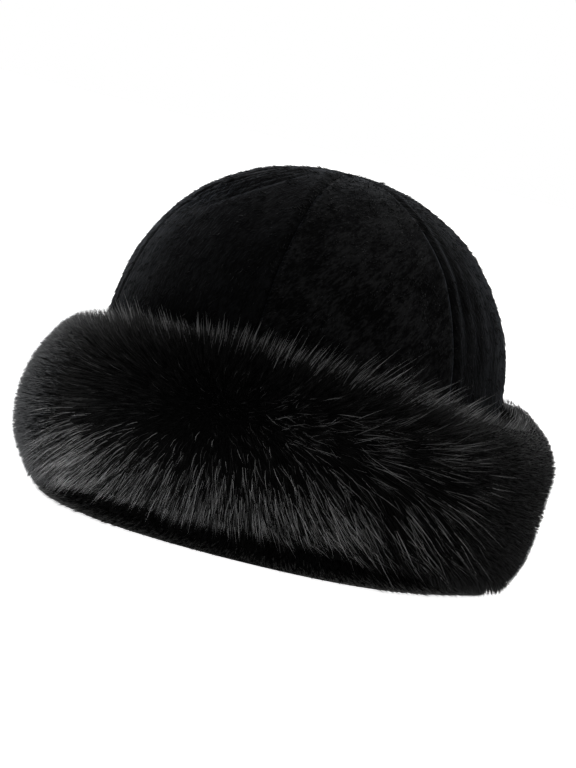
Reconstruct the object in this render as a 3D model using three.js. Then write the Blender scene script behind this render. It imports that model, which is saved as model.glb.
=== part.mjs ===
// A fur-trimmed winter hat, standing on its rim: six gores of short sheared pile sewn into a dome,
// a brim of the same pile turned up round the dome, and a trim of long fur on the brim's outer face.
// Millimetres, +Z up. The origin is at the centre of the rim, on the surface that the hat rests on.
// The front seam faces -Y. An azimuth is counted from the front towards +X.

import * as THREE from "three";
import { mergeVertices } from "three/addons/utils/BufferGeometryUtils.js";

// Crown
const CROWN_HALF_WIDTH = 94.5;
const CROWN_HALF_DEPTH = 100;
const HAT_HEIGHT = 178;
const DOME_RISE = 95;
const SPRING_LINE = HAT_HEIGHT - DOME_RISE;
const CROWN_WALL = 3;
const CROWN_FOOT = 5.4;
const GORE_COUNT = 6;
const GORE_ANGLE = 360 / GORE_COUNT;
const GORE_PUFF = 0.8;
const SEAM_GAP = 0.3;
const SEAM_DIP = 1.6;
const SEAM_REACH = 5;
const RELIEF_FROM = 60;
const RELIEF_FULL = 88;
const GORE_SHARES = [0, 0.05, 0.13, 0.22, 0.32, 0.42, 0.5, 0.58, 0.68, 0.78, 0.87, 0.95, 1];
const WALL_ROWS = 3;
const DOME_ROWS = 10;

// Soft folds of the crown. Azimuths and width are in degrees, depth in millimetres, and from and to
// are shares of the way from the spring line to the top.
const CROWN_FOLDS = [
  { name: "beside right seam", lowAzimuth: 67, highAzimuth: 69, from: -0.1, to: 0.85, width: 2.6, depth: 1.3 },
  { name: "behind right seam", lowAzimuth: 75, highAzimuth: 77, from: -0.1, to: 0.75, width: 3.0, depth: 1.2 },
  { name: "left shoulder low", lowAzimuth: -52, highAzimuth: -32, from: 0.4, to: 0.95, width: 3.6, depth: 1.0 },
  { name: "left shoulder high", lowAzimuth: -41, highAzimuth: -20, from: 0.45, to: 0.95, width: 3.6, depth: 0.9 },
];

// How high the trim stands and how low it hangs on its way round from the front
const TRIM_EDGES = [
  { azimuth: 0, top: 99, low: 11 },
  { azimuth: 90, top: 86, low: 4 },
  { azimuth: 135, top: 95, low: 6 },
  { azimuth: 200, top: 92, low: 7 },
  { azimuth: 270, top: 86, low: 4 },
  { azimuth: 360, top: 99, low: 11 },
];
const SIDE = TRIM_EDGES[1];

// Section of the turned-up brim at the side of the hat: out is counted from the crown's face, up from
// the rest. It runs from the flat rest round the outer leg, the channel for the crown and the inner leg.
const BRIM_COLUMNS = 60;
const CHANNEL_EDGE = 5;
const BRIM_SECTION = [
  { at: "rest, inside", out: -5.6, up: 0 },
  { at: "rest, outside", out: 5.4, up: 0 },
  { at: "roll", out: 8.6, up: 1.6 },
  { at: "roll", out: 10.2, up: 5 },
  { at: "outer leg, outside", out: 10.8, up: 12 },
  { at: "outer leg, outside", out: 12.0, up: 43 },
  { at: "outer leg, outside", out: 13.0, up: 71 },
  { at: "top edge", out: 12.5, up: 74.2 },
  { at: "top edge", out: 11.4, up: 75.2 },
  { at: "top edge", out: 10.2, up: 74.2 },
  { at: "outer leg, inside", out: 9.8, up: 71 },
  { at: "outer leg, inside", out: 8.8, up: 43 },
  { at: "outer leg, inside", out: 7.4, up: 12 },
  { at: "channel", out: 5.6, up: 6.6 },
  { at: "channel", out: 2.4, up: 5 },
  { at: "channel", out: -2.6, up: 5 },
  { at: "inner leg, outside", out: -3.4, up: 6.4 },
  { at: "inner leg, outside", out: -3.4, up: 28.5 },
  { at: "inner edge", out: -4.4, up: 30 },
  { at: "inner edge", out: -6.2, up: 30 },
  { at: "inner leg, inside", out: -7.2, up: 28.5 },
  { at: "inner leg, inside", out: -7.2, up: 4 },
  { at: "inner roll", out: -6.7, up: 1.3 },
];

// Section of the long fur. Each face row gives where the tips of its locks reach and how deep the
// valleys between them are. The pelt rows lie against the brim and close the section.
const TRIM_COLUMNS = 120;
const LOCK_SWEEP = 0.55;
const LOCK_TURN = 2.2;
const LOCK_UNEVEN = 0.16;
const TRIM_FACE = [
  { at: "lower edge", out: 15.0, up: 4.5, lock: 1.5 },
  { at: "under curve", out: 20.5, up: 7.5, lock: 4 },
  { at: "under curve", out: 25.2, up: 14.5, lock: 6.5 },
  { at: "face", out: 28.4, up: 24.5, lock: 8 },
  { at: "face", out: 29.7, up: 36, lock: 8 },
  { at: "face", out: 29.0, up: 47.5, lock: 8 },
  { at: "face", out: 26.6, up: 59, lock: 8 },
  { at: "shoulder", out: 22.8, up: 69.5, lock: 7 },
  { at: "shoulder", out: 17.8, up: 78.5, lock: 5.5 },
  { at: "upper edge", out: 11.5, up: 84.5, lock: 4 },
  { at: "lip by the crown", out: 5.0, up: 82.5, lock: 2.6 },
];
const PELT = [
  { at: "over the brim", out: 6.4, up: 78.6 },
  { at: "over the brim", out: 10.6, up: 76.8 },
  { at: "pelt", out: 13.2, up: 75.2 },
  { at: "pelt", out: 13.5, up: 71 },
  { at: "pelt", out: 12.5, up: 43 },
  { at: "pelt, lower edge", out: 11.4, up: 10.4 },
];
const PELT_FOOT = PELT[PELT.length - 1].up;

const DEGREE = Math.PI / 180;

// Direction of an azimuth on the plan.
function direction(azimuth) {
  return new THREE.Vector3(Math.sin(azimuth * DEGREE), -Math.cos(azimuth * DEGREE), 0);
}

// Radius of the crown's oval plan at an azimuth.
function ovalRadius(azimuth) {
  const across = CROWN_HALF_DEPTH * Math.sin(azimuth * DEGREE);
  const along = CROWN_HALF_WIDTH * Math.cos(azimuth * DEGREE);
  return (CROWN_HALF_WIDTH * CROWN_HALF_DEPTH) / Math.hypot(across, along);
}

// The trim's top and low edge at an azimuth, smoothly between the rows of their table.
function trimEdges(azimuth) {
  const turned = THREE.MathUtils.euclideanModulo(azimuth, 360);
  const next = TRIM_EDGES.findIndex((row) => row.azimuth > turned);
  const [before, after] = [TRIM_EDGES[next - 1], TRIM_EDGES[next]];
  const share = THREE.MathUtils.smoothstep(turned, before.azimuth, after.azimuth);
  return {
    top: THREE.MathUtils.lerp(before.top, after.top, share),
    low: THREE.MathUtils.lerp(before.low, after.low, share),
  };
}

// The height at an azimuth of a point of the trim, given its height at the side of the hat.
function trimHeight(up, azimuth) {
  const edges = trimEdges(azimuth);
  return edges.low + ((up - SIDE.low) * (edges.top - edges.low)) / (SIDE.top - SIDE.low);
}

// The brim's outer leg stretches with the trim that it carries, and its foot stays on the rest.
function brimHeight(point, azimuth) {
  if (point.out < CHANNEL_EDGE) return point.up;
  if (point.up >= PELT_FOOT) return trimHeight(point.up, azimuth);
  const stretch = trimHeight(PELT_FOOT, azimuth) / PELT_FOOT;
  return point.up * THREE.MathUtils.lerp(1, stretch, point.up / PELT_FOOT);
}

// A point at an azimuth, a distance out from the crown's face and a height.
function ringPoint(azimuth, out, height) {
  return direction(azimuth).multiplyScalar(ovalRadius(azimuth) + out).setZ(height);
}

// How far folds, seams and puff move the crown's face outwards at a share of a gore's width.
function crownRelief(azimuth, share, height, climb) {
  const strength = THREE.MathUtils.smoothstep(height, RELIEF_FROM, RELIEF_FULL);
  const planRadius = ovalRadius(azimuth) * Math.sqrt(1 - climb * climb);
  const toSeam = Math.min(share, 1 - share) * GORE_ANGLE * DEGREE * planRadius;
  const fade = Math.min(1, planRadius / (3 * SEAM_REACH));
  const seam = SEAM_DIP * Math.exp(-((toSeam / SEAM_REACH) ** 2)) * fade;
  const puff = GORE_PUFF * Math.sin(Math.PI * share) * fade;
  return strength * (puff - seam - foldDepth(azimuth, climb));
}

// Depth of the soft folds at an azimuth and a climb from the spring line, 0, to the top, 1.
function foldDepth(azimuth, climb) {
  let depth = 0;
  for (const fold of CROWN_FOLDS) {
    const along = (climb - fold.from) / (fold.to - fold.from);
    if (along <= 0 || along >= 1) continue;
    const middle = THREE.MathUtils.lerp(fold.lowAzimuth, fold.highAzimuth, along);
    const aside = (((azimuth - middle + 540) % 360) - 180) / fold.width;
    depth += fold.depth * Math.exp(-aside * aside) * Math.sin(Math.PI * along);
  }
  return depth;
}

// A point of a gore's outer face, or of its inner face if wall is the crown's thickness. rise runs
// from 0 at the foot through 1 at the spring line to 2 at the top.
function gorePoint(seamAzimuth, share, rise, wall) {
  const azimuth = seamAzimuth + share * GORE_ANGLE;
  const lift = Math.max(0, rise - 1) * 90 * DEGREE;
  const climb = Math.sin(lift);
  const height = rise < 1 ? THREE.MathUtils.lerp(CROWN_FOOT, SPRING_LINE, rise) : SPRING_LINE;
  const face = height + DOME_RISE * climb;
  const reach = crownRelief(azimuth, share, face, climb) - wall;
  const planRadius = (ovalRadius(azimuth) + reach) * Math.cos(lift);
  return direction(azimuth).multiplyScalar(planRadius).setZ(face + reach * climb);
}

// A closed geometry from a list of points and of faces, each a triangle or a quadrangle.
function closedGeometry(points, faces) {
  const positions = points.flatMap((point) => [point.x, point.y, point.z]);
  const triangles = faces.flatMap(([a, b, c, d]) => (d === undefined ? [a, b, c] : [a, b, c, a, c, d]));
  const loose = new THREE.BufferGeometry();
  loose.setAttribute("position", new THREE.Float32BufferAttribute(positions, 3));
  loose.setIndex(triangles);
  const merged = mergeVertices(loose, 1e-3);
  const kept = [];
  for (let i = 0; i < merged.index.count; i += 3) {
    const [a, b, c] = merged.index.array.slice(i, i + 3);
    if (a !== b && b !== c && c !== a) kept.push(a, b, c);
  }
  merged.setIndex(kept);
  merged.computeVertexNormals();
  return merged;
}

// One gore: an outer and an inner face, joined along the foot and the two seams.
function goreGeometry(seamAzimuth) {
  const rises = [];
  for (let row = 0; row < WALL_ROWS; row++) rises.push(row / WALL_ROWS);
  for (let row = 0; row <= DOME_ROWS; row++) rises.push(1 + row / DOME_ROWS);
  const points = [];
  for (const wall of [0, CROWN_WALL]) {
    for (const rise of rises) {
      for (const share of GORE_SHARES) points.push(gorePoint(seamAzimuth, share, rise, wall));
    }
  }
  const across = GORE_SHARES.length;
  const rows = rises.length;
  const outer = (row, column) => row * across + column;
  const inner = (row, column) => (rows + row) * across + column;
  const faces = [];
  for (let row = 0; row + 1 < rows; row++) {
    for (let column = 0; column + 1 < across; column++) {
      faces.push([outer(row, column), outer(row, column + 1), outer(row + 1, column + 1), outer(row + 1, column)]);
      faces.push([inner(row, column), inner(row + 1, column), inner(row + 1, column + 1), inner(row, column + 1)]);
    }
    faces.push([outer(row, 0), outer(row + 1, 0), inner(row + 1, 0), inner(row, 0)]);
    faces.push([outer(row, across - 1), inner(row, across - 1), inner(row + 1, across - 1), outer(row + 1, across - 1)]);
  }
  for (let column = 0; column + 1 < across; column++) {
    faces.push([outer(0, column), inner(0, column), inner(0, column + 1), outer(0, column + 1)]);
  }
  return closedGeometry(points, faces);
}

// A ring closed round the hat and round its section. pointAt takes a column and a row of the section,
// and a quadrangle is cut between its two low corners wherever splitLow says so.
function ringGeometry(columns, rows, pointAt, splitLow = () => false) {
  const points = [];
  for (let column = 0; column < columns; column++) {
    for (let row = 0; row < rows; row++) points.push(pointAt(column, row));
  }
  const at = (column, row) => (column % columns) * rows + (row % rows);
  const faces = [];
  for (let column = 0; column < columns; column++) {
    for (let row = 0; row < rows; row++) {
      const corners = [at(column, row), at(column + 1, row), at(column + 1, row + 1), at(column, row + 1)];
      if (splitLow(column, row)) corners.push(corners.shift());
      faces.push(corners);
    }
  }
  return closedGeometry(points, faces);
}

// The turned-up brim.
function brimGeometry() {
  return ringGeometry(BRIM_COLUMNS, BRIM_SECTION.length, (column, row) => {
    const azimuth = (column * 360) / BRIM_COLUMNS;
    const point = BRIM_SECTION[row];
    return ringPoint(azimuth, point.out, brimHeight(point, azimuth));
  });
}

// A point between two rows of the fur's face, at a share of the way along the section.
function faceAt(place) {
  const row = THREE.MathUtils.clamp(place, 0, TRIM_FACE.length - 1);
  const before = TRIM_FACE[Math.min(Math.floor(row), TRIM_FACE.length - 2)];
  const after = TRIM_FACE[TRIM_FACE.indexOf(before) + 1];
  const share = row - TRIM_FACE.indexOf(before);
  return {
    out: THREE.MathUtils.lerp(before.out, after.out, share),
    up: THREE.MathUtils.lerp(before.up, after.up, share),
    inwards: new THREE.Vector2(before.up - after.up, after.out - before.out).normalize(),
  };
}

// Whether a lock's tip stands at a column and a row of the fur's face. The others are valleys.
function isTip(column, row) {
  return row < TRIM_FACE.length && (column + row) % 2 === 0;
}

// A point of the long fur. Locks rise from the one pelt: their tips sweep away from the middle of the
// face, up or down, and turn a little round the hat.
function trimPoint(column, row) {
  const azimuth = (column * 360) / TRIM_COLUMNS;
  if (row >= TRIM_FACE.length) {
    const pelt = PELT[row - TRIM_FACE.length];
    return ringPoint(azimuth, pelt.out, trimHeight(pelt.up, azimuth));
  }
  const middle = (TRIM_FACE.length - 1) / 2;
  if (!isTip(column, row)) {
    const face = faceAt(row);
    const depth = TRIM_FACE[row].lock;
    const valley = { out: face.out + depth * face.inwards.x, up: face.up + depth * face.inwards.y };
    return ringPoint(azimuth, valley.out, trimHeight(valley.up, azimuth));
  }
  const uneven = LOCK_UNEVEN * Math.sin((column % (TRIM_COLUMNS / 2)) * 2.4 + row * 1.7);
  const tip = faceAt(row + ((row - middle) / middle) * LOCK_SWEEP * (1 + uneven));
  const back = uneven * TRIM_FACE[row].lock;
  return ringPoint(
    azimuth + LOCK_TURN,
    tip.out + back * tip.inwards.x,
    trimHeight(tip.up + back * tip.inwards.y, azimuth),
  );
}

// The trim of long fur.
function trimGeometry() {
  const rows = TRIM_FACE.length + PELT.length;
  return ringGeometry(TRIM_COLUMNS, rows, trimPoint, (column, row) => isTip(column, row));
}

// The pile of crown and brim is short and dull, and the long fur is glossier.
const shortPile = () => new THREE.MeshStandardMaterial({ color: 0x0b0c0e, roughness: 0.9, metalness: 0 });
const longFur = () => new THREE.MeshStandardMaterial({ color: 0x070707, roughness: 0.6, metalness: 0 });

function piece(name, geometry, material) {
  const mesh = new THREE.Mesh(geometry, material);
  mesh.name = name;
  return mesh;
}

// Six gores, each moved out along its own middle so that neighbours keep the seam's gap.
function crown() {
  const group = new THREE.Group();
  const standOff = SEAM_GAP / 2 / Math.sin((GORE_ANGLE / 2) * DEGREE);
  const names = ["front_right", "right", "back_right", "back_left", "left", "front_left"];
  names.forEach((name, index) => {
    const seamAzimuth = index * GORE_ANGLE;
    const gore = piece("crown_gore_" + name, goreGeometry(seamAzimuth), shortPile());
    gore.position.copy(direction(seamAzimuth + GORE_ANGLE / 2).multiplyScalar(standOff));
    group.add(gore);
  });
  return group;
}

const hat = new THREE.Group();
hat.add(crown());
hat.add(piece("brim", brimGeometry(), shortPile()));
hat.add(piece("fur_trim", trimGeometry(), longFur()));

export default hat;
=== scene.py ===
"""Dresses the fur-trimmed hat: six gores of sheared pile, a turned-up brim and a trim of long fur.

Metres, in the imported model's frame: +Z up, the front seam towards -Y, the rim resting on z = 0. An
azimuth is counted in degrees from the front towards +X. Sections are given in millimetres at the
side of the hat, as in the solids: out from the crown's face, and up from the rest.
"""

import logging
import math
from dataclasses import dataclass, field, replace
from enum import Enum
from typing import Union

import bmesh
import bpy
import numpy as np
from mathutils import Matrix, Vector, noise


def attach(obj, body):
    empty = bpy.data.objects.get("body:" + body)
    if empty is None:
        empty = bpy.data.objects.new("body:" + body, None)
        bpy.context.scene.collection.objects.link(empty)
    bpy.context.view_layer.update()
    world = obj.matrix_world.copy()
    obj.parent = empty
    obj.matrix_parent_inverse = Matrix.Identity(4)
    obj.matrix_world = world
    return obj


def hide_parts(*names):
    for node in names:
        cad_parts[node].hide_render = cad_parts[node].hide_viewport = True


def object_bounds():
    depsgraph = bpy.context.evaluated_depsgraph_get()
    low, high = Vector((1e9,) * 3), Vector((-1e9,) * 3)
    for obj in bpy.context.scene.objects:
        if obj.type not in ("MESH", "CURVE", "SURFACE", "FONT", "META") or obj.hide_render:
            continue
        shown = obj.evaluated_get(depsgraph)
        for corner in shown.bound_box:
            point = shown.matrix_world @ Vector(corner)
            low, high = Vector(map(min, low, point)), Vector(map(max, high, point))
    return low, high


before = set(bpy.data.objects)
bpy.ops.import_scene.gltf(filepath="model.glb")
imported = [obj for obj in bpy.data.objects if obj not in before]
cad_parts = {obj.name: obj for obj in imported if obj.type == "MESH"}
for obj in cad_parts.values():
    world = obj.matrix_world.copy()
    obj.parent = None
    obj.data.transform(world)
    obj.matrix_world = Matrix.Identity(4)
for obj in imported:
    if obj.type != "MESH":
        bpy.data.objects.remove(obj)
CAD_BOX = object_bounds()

LOG = logging.getLogger("hat")
MM = 0.001
BODY = "root"
PILE_MAP = "pile"
MERGE_DISTANCE = 1e-6
SLIVER_LENGTH = 1e-7
TINY = 1e-12
ANY_WAY = ((-1.0, -1.0, -1.0), (1.0, 1.0, 1.0))

Colour = tuple[float, float, float]


class Growth(Enum):
    """Where on the trim a coat of hair grows."""

    EVERYWHERE = "everywhere"
    # the lighter coats that grow at FRONT to CREST carry painted light
    FRONT = "front"
    FLANK = "flank"
    HEM = "hem"
    BRIGHT = "bright"
    CREST = "crest"


class Slot(Enum):
    """The record's material slots."""

    CROWN = "crown_pile"
    BRIM = "brim_pile"
    FUR = "long_fur"


class Wire:
    """An output socket whose operators add the Math nodes that work them out."""

    def __init__(self, maker: "NodeMaker", socket: bpy.types.NodeSocket) -> None:
        """Wraps a socket of the maker's tree."""
        self.maker = maker
        self.socket = socket

    def __add__(self, other: "Value") -> "Wire":
        """Sum."""
        return self.maker.combine("ADD", self, other)

    def __radd__(self, other: "Value") -> "Wire":
        """Sum, reflected."""
        return self.maker.combine("ADD", other, self)

    def __sub__(self, other: "Value") -> "Wire":
        """Difference."""
        return self.maker.combine("SUBTRACT", self, other)

    def __rsub__(self, other: "Value") -> "Wire":
        """Difference, reflected."""
        return self.maker.combine("SUBTRACT", other, self)

    def __mul__(self, other: "Value") -> "Wire":
        """Product. A vector times a number is scaled."""
        return self.maker.combine("MULTIPLY", self, other)

    def __rmul__(self, other: "Value") -> "Wire":
        """Product, reflected."""
        return self.maker.combine("MULTIPLY", self, other)

    def __truediv__(self, other: "Value") -> "Wire":
        """Quotient."""
        return self.maker.combine("DIVIDE", self, other)

    def __rtruediv__(self, other: "Value") -> "Wire":
        """Quotient, reflected."""
        return self.maker.combine("DIVIDE", other, self)

    def __pow__(self, other: "Value") -> "Wire":
        """Power of a number."""
        return self.maker.combine("POWER", self, other)

    def __rpow__(self, other: "Value") -> "Wire":
        """Power of a number, reflected."""
        return self.maker.combine("POWER", other, self)


Value = Union[Wire, float, int, tuple]


class NodeMaker:
    """Adds nodes to a shader or geometry tree and links them."""

    def __init__(self, tree: bpy.types.NodeTree) -> None:
        """Starts on a tree, which keeps the nodes that it has."""
        self.tree = tree

    def add(
        self, kind: str, settings: dict | None = None, sockets: dict | None = None
    ) -> bpy.types.Node:
        """Adds a node.

        Args:
            kind: The node's type name.
            settings: Its properties, which are set first.
            sockets: Values or wires of its inputs, by name or place.

        Returns:
            The node.
        """
        node = self.tree.nodes.new(kind)
        for name, value in (settings or {}).items():
            setattr(node, name, value)
        for key, value in (sockets or {}).items():
            self.feed(node.inputs[key], value)
        return node

    def feed(self, socket: bpy.types.NodeSocket, value: Value) -> None:
        """Links a wire to an input, or sets its value.

        Args:
            socket: The input.
            value: The wire or value.
        """
        if isinstance(value, Wire):
            self.tree.links.new(value.socket, socket)
        else:
            socket.default_value = value

    def out(self, node: bpy.types.Node, key: Union[str, int] = 0) -> Wire:
        """Wraps one of a node's outputs."""
        return Wire(self, node.outputs[key])

    def combine(self, operation: str, first: Value, second: Value) -> Wire:
        """Adds the Math or Vector Math node for an operator.

        Args:
            operation: The operation's name, the same for numbers and vectors.
            first: The left-hand value.
            second: The right-hand value.

        Returns:
            The result.
        """
        vectors = [v for v in (first, second) if is_vector(v)]
        if not vectors:
            return self.maths(operation, first, second)
        if operation == "MULTIPLY" and len(vectors) == 1:
            number = second if is_vector(first) else first
            sockets = {0: vectors[0], "Scale": number}
            return self.out(self.add("ShaderNodeVectorMath", {"operation": "SCALE"}, sockets))
        return self.vector(operation, first, second)

    def maths(self, operation: str, *values: Value) -> Wire:
        """Adds a Math node."""
        sockets = dict(enumerate(values))
        return self.out(self.add("ShaderNodeMath", {"operation": operation}, sockets))

    def vector(self, operation: str, *values: Value) -> Wire:
        """Adds a Vector Math node."""
        sockets = dict(enumerate(values))
        return self.out(self.add("ShaderNodeVectorMath", {"operation": operation}, sockets))

    def length(self, vector: Value) -> Wire:
        """Adds the Vector Math node for a vector's length."""
        node = self.add("ShaderNodeVectorMath", {"operation": "LENGTH"}, {0: vector})
        return self.out(node, "Value")

    def blend_colours(self, factor: Value, low: Colour, high: Colour) -> Wire:
        """Mixes two colours by a factor."""
        sockets = {0: factor, 6: (*low, 1.0), 7: (*high, 1.0)}
        return self.out(self.add("ShaderNodeMix", {"data_type": "RGBA"}, sockets), 2)

    def ramp(self, factor: Value, low: float, high: float) -> Wire:
        """Stretches a factor so that low becomes 0 and high becomes 1, smoothly.

        Args:
            factor: The factor.
            low: What becomes 0.
            high: What becomes 1.

        Returns:
            The stretched factor.
        """
        settings = {"interpolation_type": "SMOOTHSTEP"}
        sockets = {"Value": factor, "From Min": low, "From Max": high}
        return self.out(self.add("ShaderNodeMapRange", settings, sockets))

    def noise(self, place: Wire, size: float, detail: float, roughness: float) -> Wire:
        """Adds a noise whose features are about as wide as size, in metres."""
        sockets = {"Vector": place, "Scale": 1.0 / size, "Detail": detail, "Roughness": roughness}
        return self.out(self.add("ShaderNodeTexNoise", None, sockets))

    def bump(self, height: Wire, strength: float, depth: float) -> Wire:
        """Adds a bump, whose depth is in metres."""
        sockets = {"Strength": strength, "Distance": depth, "Height": height}
        return self.out(self.add("ShaderNodeBump", None, sockets))


def is_vector(value: Value) -> bool:
    """Whether a value is a vector, as a wire or a tuple.

    Args:
        value: The value.

    Returns:
        True for a vector.
    """
    if isinstance(value, Wire):
        return value.socket.type == "VECTOR"
    return isinstance(value, tuple)


# Finishes


def new_material(name: str) -> tuple[bpy.types.Material, NodeMaker, bpy.types.Node]:
    """Starts a material.

    Args:
        name: The material's name.

    Returns:
        The material, the maker of its nodes and its Principled shader.
    """
    material = bpy.data.materials.new(name)
    material.use_nodes = True
    tree = material.node_tree
    return material, NodeMaker(tree), tree.nodes["Principled BSDF"]


@dataclass(frozen=True)
class PileFinish:
    """Sheared pile on cloth: mottled near-black, ruffled by a fine bump, with a cool sheen."""

    name: str
    dark: Colour
    light: Colour
    sheen: float
    sheen_tint: Colour = (0.72, 0.82, 1.0)
    patch: float = 0.022
    ruffle: float = 0.0026
    streak: float = 0.0009
    slant: float = 0.0
    comb: float = 0.32
    raggedness: float = 0.6
    mottle_shares: tuple = (0.32, 0.36, 0.32)
    mottle_range: tuple = (0.43, 0.6)
    dull: float = 0.95
    dull_drop: float = 0.15
    bump_shares: tuple = (0.6, 0.4)
    bump_strength: float = 0.9
    bump_depth: float = 0.0012
    gloss: float = 0.06
    sheen_roughness: float = 0.28

    def make(self) -> bpy.types.Material:
        """Builds the material on the piece's UV map: in metres, v up, the pile at a slant.

        Returns:
            The material.
        """
        material, nodes, shader = new_material(self.name)
        place = nodes.out(nodes.add("ShaderNodeUVMap", {"uv_map": PILE_MAP}))
        turn = {"Vector": place, "Rotation": (0.0, 0.0, math.radians(self.slant))}
        turned = nodes.out(nodes.add("ShaderNodeMapping", None, turn))
        combed = nodes.vector("MULTIPLY", turned, (1.0, self.comb, 1.0))
        patches = nodes.noise(place, self.patch, 3.0, self.raggedness)
        ruffles = nodes.noise(combed, self.ruffle, 4.0, self.raggedness)
        streaks = nodes.noise(combed, self.streak, 2.0, self.raggedness)
        coarse, middling, fine = self.mottle_shares
        mixed = patches * coarse + ruffles * middling + streaks * fine
        mottle = nodes.ramp(mixed, *self.mottle_range)
        nodes.feed(shader.inputs["Base Color"], nodes.blend_colours(mottle, self.dark, self.light))
        nodes.feed(shader.inputs["Roughness"], self.dull - mottle * self.dull_drop)
        relief = ruffles * self.bump_shares[0] + streaks * self.bump_shares[1]
        nodes.feed(shader.inputs["Normal"], nodes.bump(relief, self.bump_strength, self.bump_depth))
        shader.inputs["Specular IOR Level"].default_value = self.gloss
        shader.inputs["Sheen Weight"].default_value = self.sheen
        shader.inputs["Sheen Roughness"].default_value = self.sheen_roughness
        shader.inputs["Sheen Tint"].default_value = (*self.sheen_tint, 1.0)
        return material


@dataclass(frozen=True)
class StrandFinish:
    """Hair: one colour along the strand, near-black for the fur's own hairs and lighter where it is
    painted light, with a gloss from its own round section.
    """

    name: str
    colour: Colour
    roughness: float
    gloss: float = 0.5

    def make(self) -> bpy.types.Material:
        """Builds the material.

        Returns:
            The material.
        """
        material, _, shader = new_material(self.name)
        shader.inputs["Base Color"].default_value = (*self.colour, 1.0)
        shader.inputs["Roughness"].default_value = self.roughness
        shader.inputs["Specular IOR Level"].default_value = self.gloss
        return material


@dataclass(frozen=True)
class UnderfurFinish:
    """The dense wool under the long hairs: near-black, broken up by a fine bump."""

    name: str
    dark: Colour
    light: Colour
    fibre: float = 0.0012
    raggedness: float = 0.7
    bump_depth: float = 0.002
    roughness: float = 0.9
    gloss: float = 0.05

    def make(self) -> bpy.types.Material:
        """Builds the material on Object coordinates.

        Returns:
            The material.
        """
        material, nodes, shader = new_material(self.name)
        place = nodes.out(nodes.add("ShaderNodeTexCoord"), "Object")
        fibres = nodes.noise(place, self.fibre, 3.0, self.raggedness)
        nodes.feed(shader.inputs["Base Color"], nodes.blend_colours(fibres, self.dark, self.light))
        nodes.feed(shader.inputs["Normal"], nodes.bump(fibres, 1.0, self.bump_depth))
        shader.inputs["Roughness"].default_value = self.roughness
        shader.inputs["Specular IOR Level"].default_value = self.gloss
        return material


@dataclass(frozen=True)
class FloorFinish:
    """Pale, dull floor, as white as its surroundings a little way from the hat."""

    name: str = "pale_floor"
    colour: Colour = (0.93, 0.93, 0.93)
    glow_near: Colour = (0.95, 0.95, 0.95)
    glow_far: Colour = (1.0, 1.0, 1.0)
    near: float = 0.16
    far: float = 0.34

    def make(self) -> bpy.types.Material:
        """Builds the material on Object coordinates.

        Returns:
            The material.
        """
        material, nodes, shader = new_material(self.name)
        place = nodes.out(nodes.add("ShaderNodeTexCoord"), "Object")
        away = nodes.ramp(nodes.length(place), self.near, self.far)
        glow = nodes.blend_colours(away, self.glow_near, self.glow_far)
        nodes.feed(shader.inputs["Emission Color"], glow)
        shader.inputs["Emission Strength"].default_value = 1.0
        shader.inputs["Base Color"].default_value = (*self.colour, 1.0)
        shader.inputs["Roughness"].default_value = 1.0
        shader.inputs["Specular IOR Level"].default_value = 0.0
        return material


# Shape of the hat


@dataclass(frozen=True)
class Bell:
    """A soft peak: 1 at its middle, falling to 0 on both sides over about its width."""

    middle: float
    width: float

    def at(self, value: np.ndarray) -> np.ndarray:
        """The peak at plain values."""
        return np.exp(-(((value - self.middle) / self.width) ** 2))

    def around(self, azimuth: np.ndarray) -> np.ndarray:
        """The peak at azimuths, the short way round the hat."""
        return np.exp(-((bearing(azimuth, self.middle) / self.width) ** 2))


@dataclass(frozen=True)
class Step:
    """A soft step between two values."""

    foot: float
    head: float

    def above(self, value: np.ndarray) -> np.ndarray:
        """0 below the foot, 1 above the head."""
        return smoothstep(value, self.foot, self.head)

    def below(self, value: np.ndarray) -> np.ndarray:
        """1 below the foot, 0 above the head."""
        return 1.0 - smoothstep(value, self.foot, self.head)


@dataclass(frozen=True)
class Ruffle:
    """Smooth noise through space: how wide its features are, in metres, and how strong."""

    size: float
    strength: float = 1.0
    offset: float = 0.0

    def at(self, points: np.ndarray) -> np.ndarray:
        """Its values, of about -strength to strength, at each point.

        Args:
            points: Places, in metres.

        Returns:
            A value for each of them.
        """
        flat = points.reshape(-1, 3) / self.size + self.offset
        values = np.array([noise.noise(Vector(p)) for p in flat])
        return self.strength * values.reshape(points.shape[:-1])


@dataclass(frozen=True)
class Fold:
    """A soft fold of the crown, running up from low to high azimuth between two climbs."""

    low_azimuth: float
    high_azimuth: float
    start: float
    end: float
    width: float
    depth: float


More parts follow.
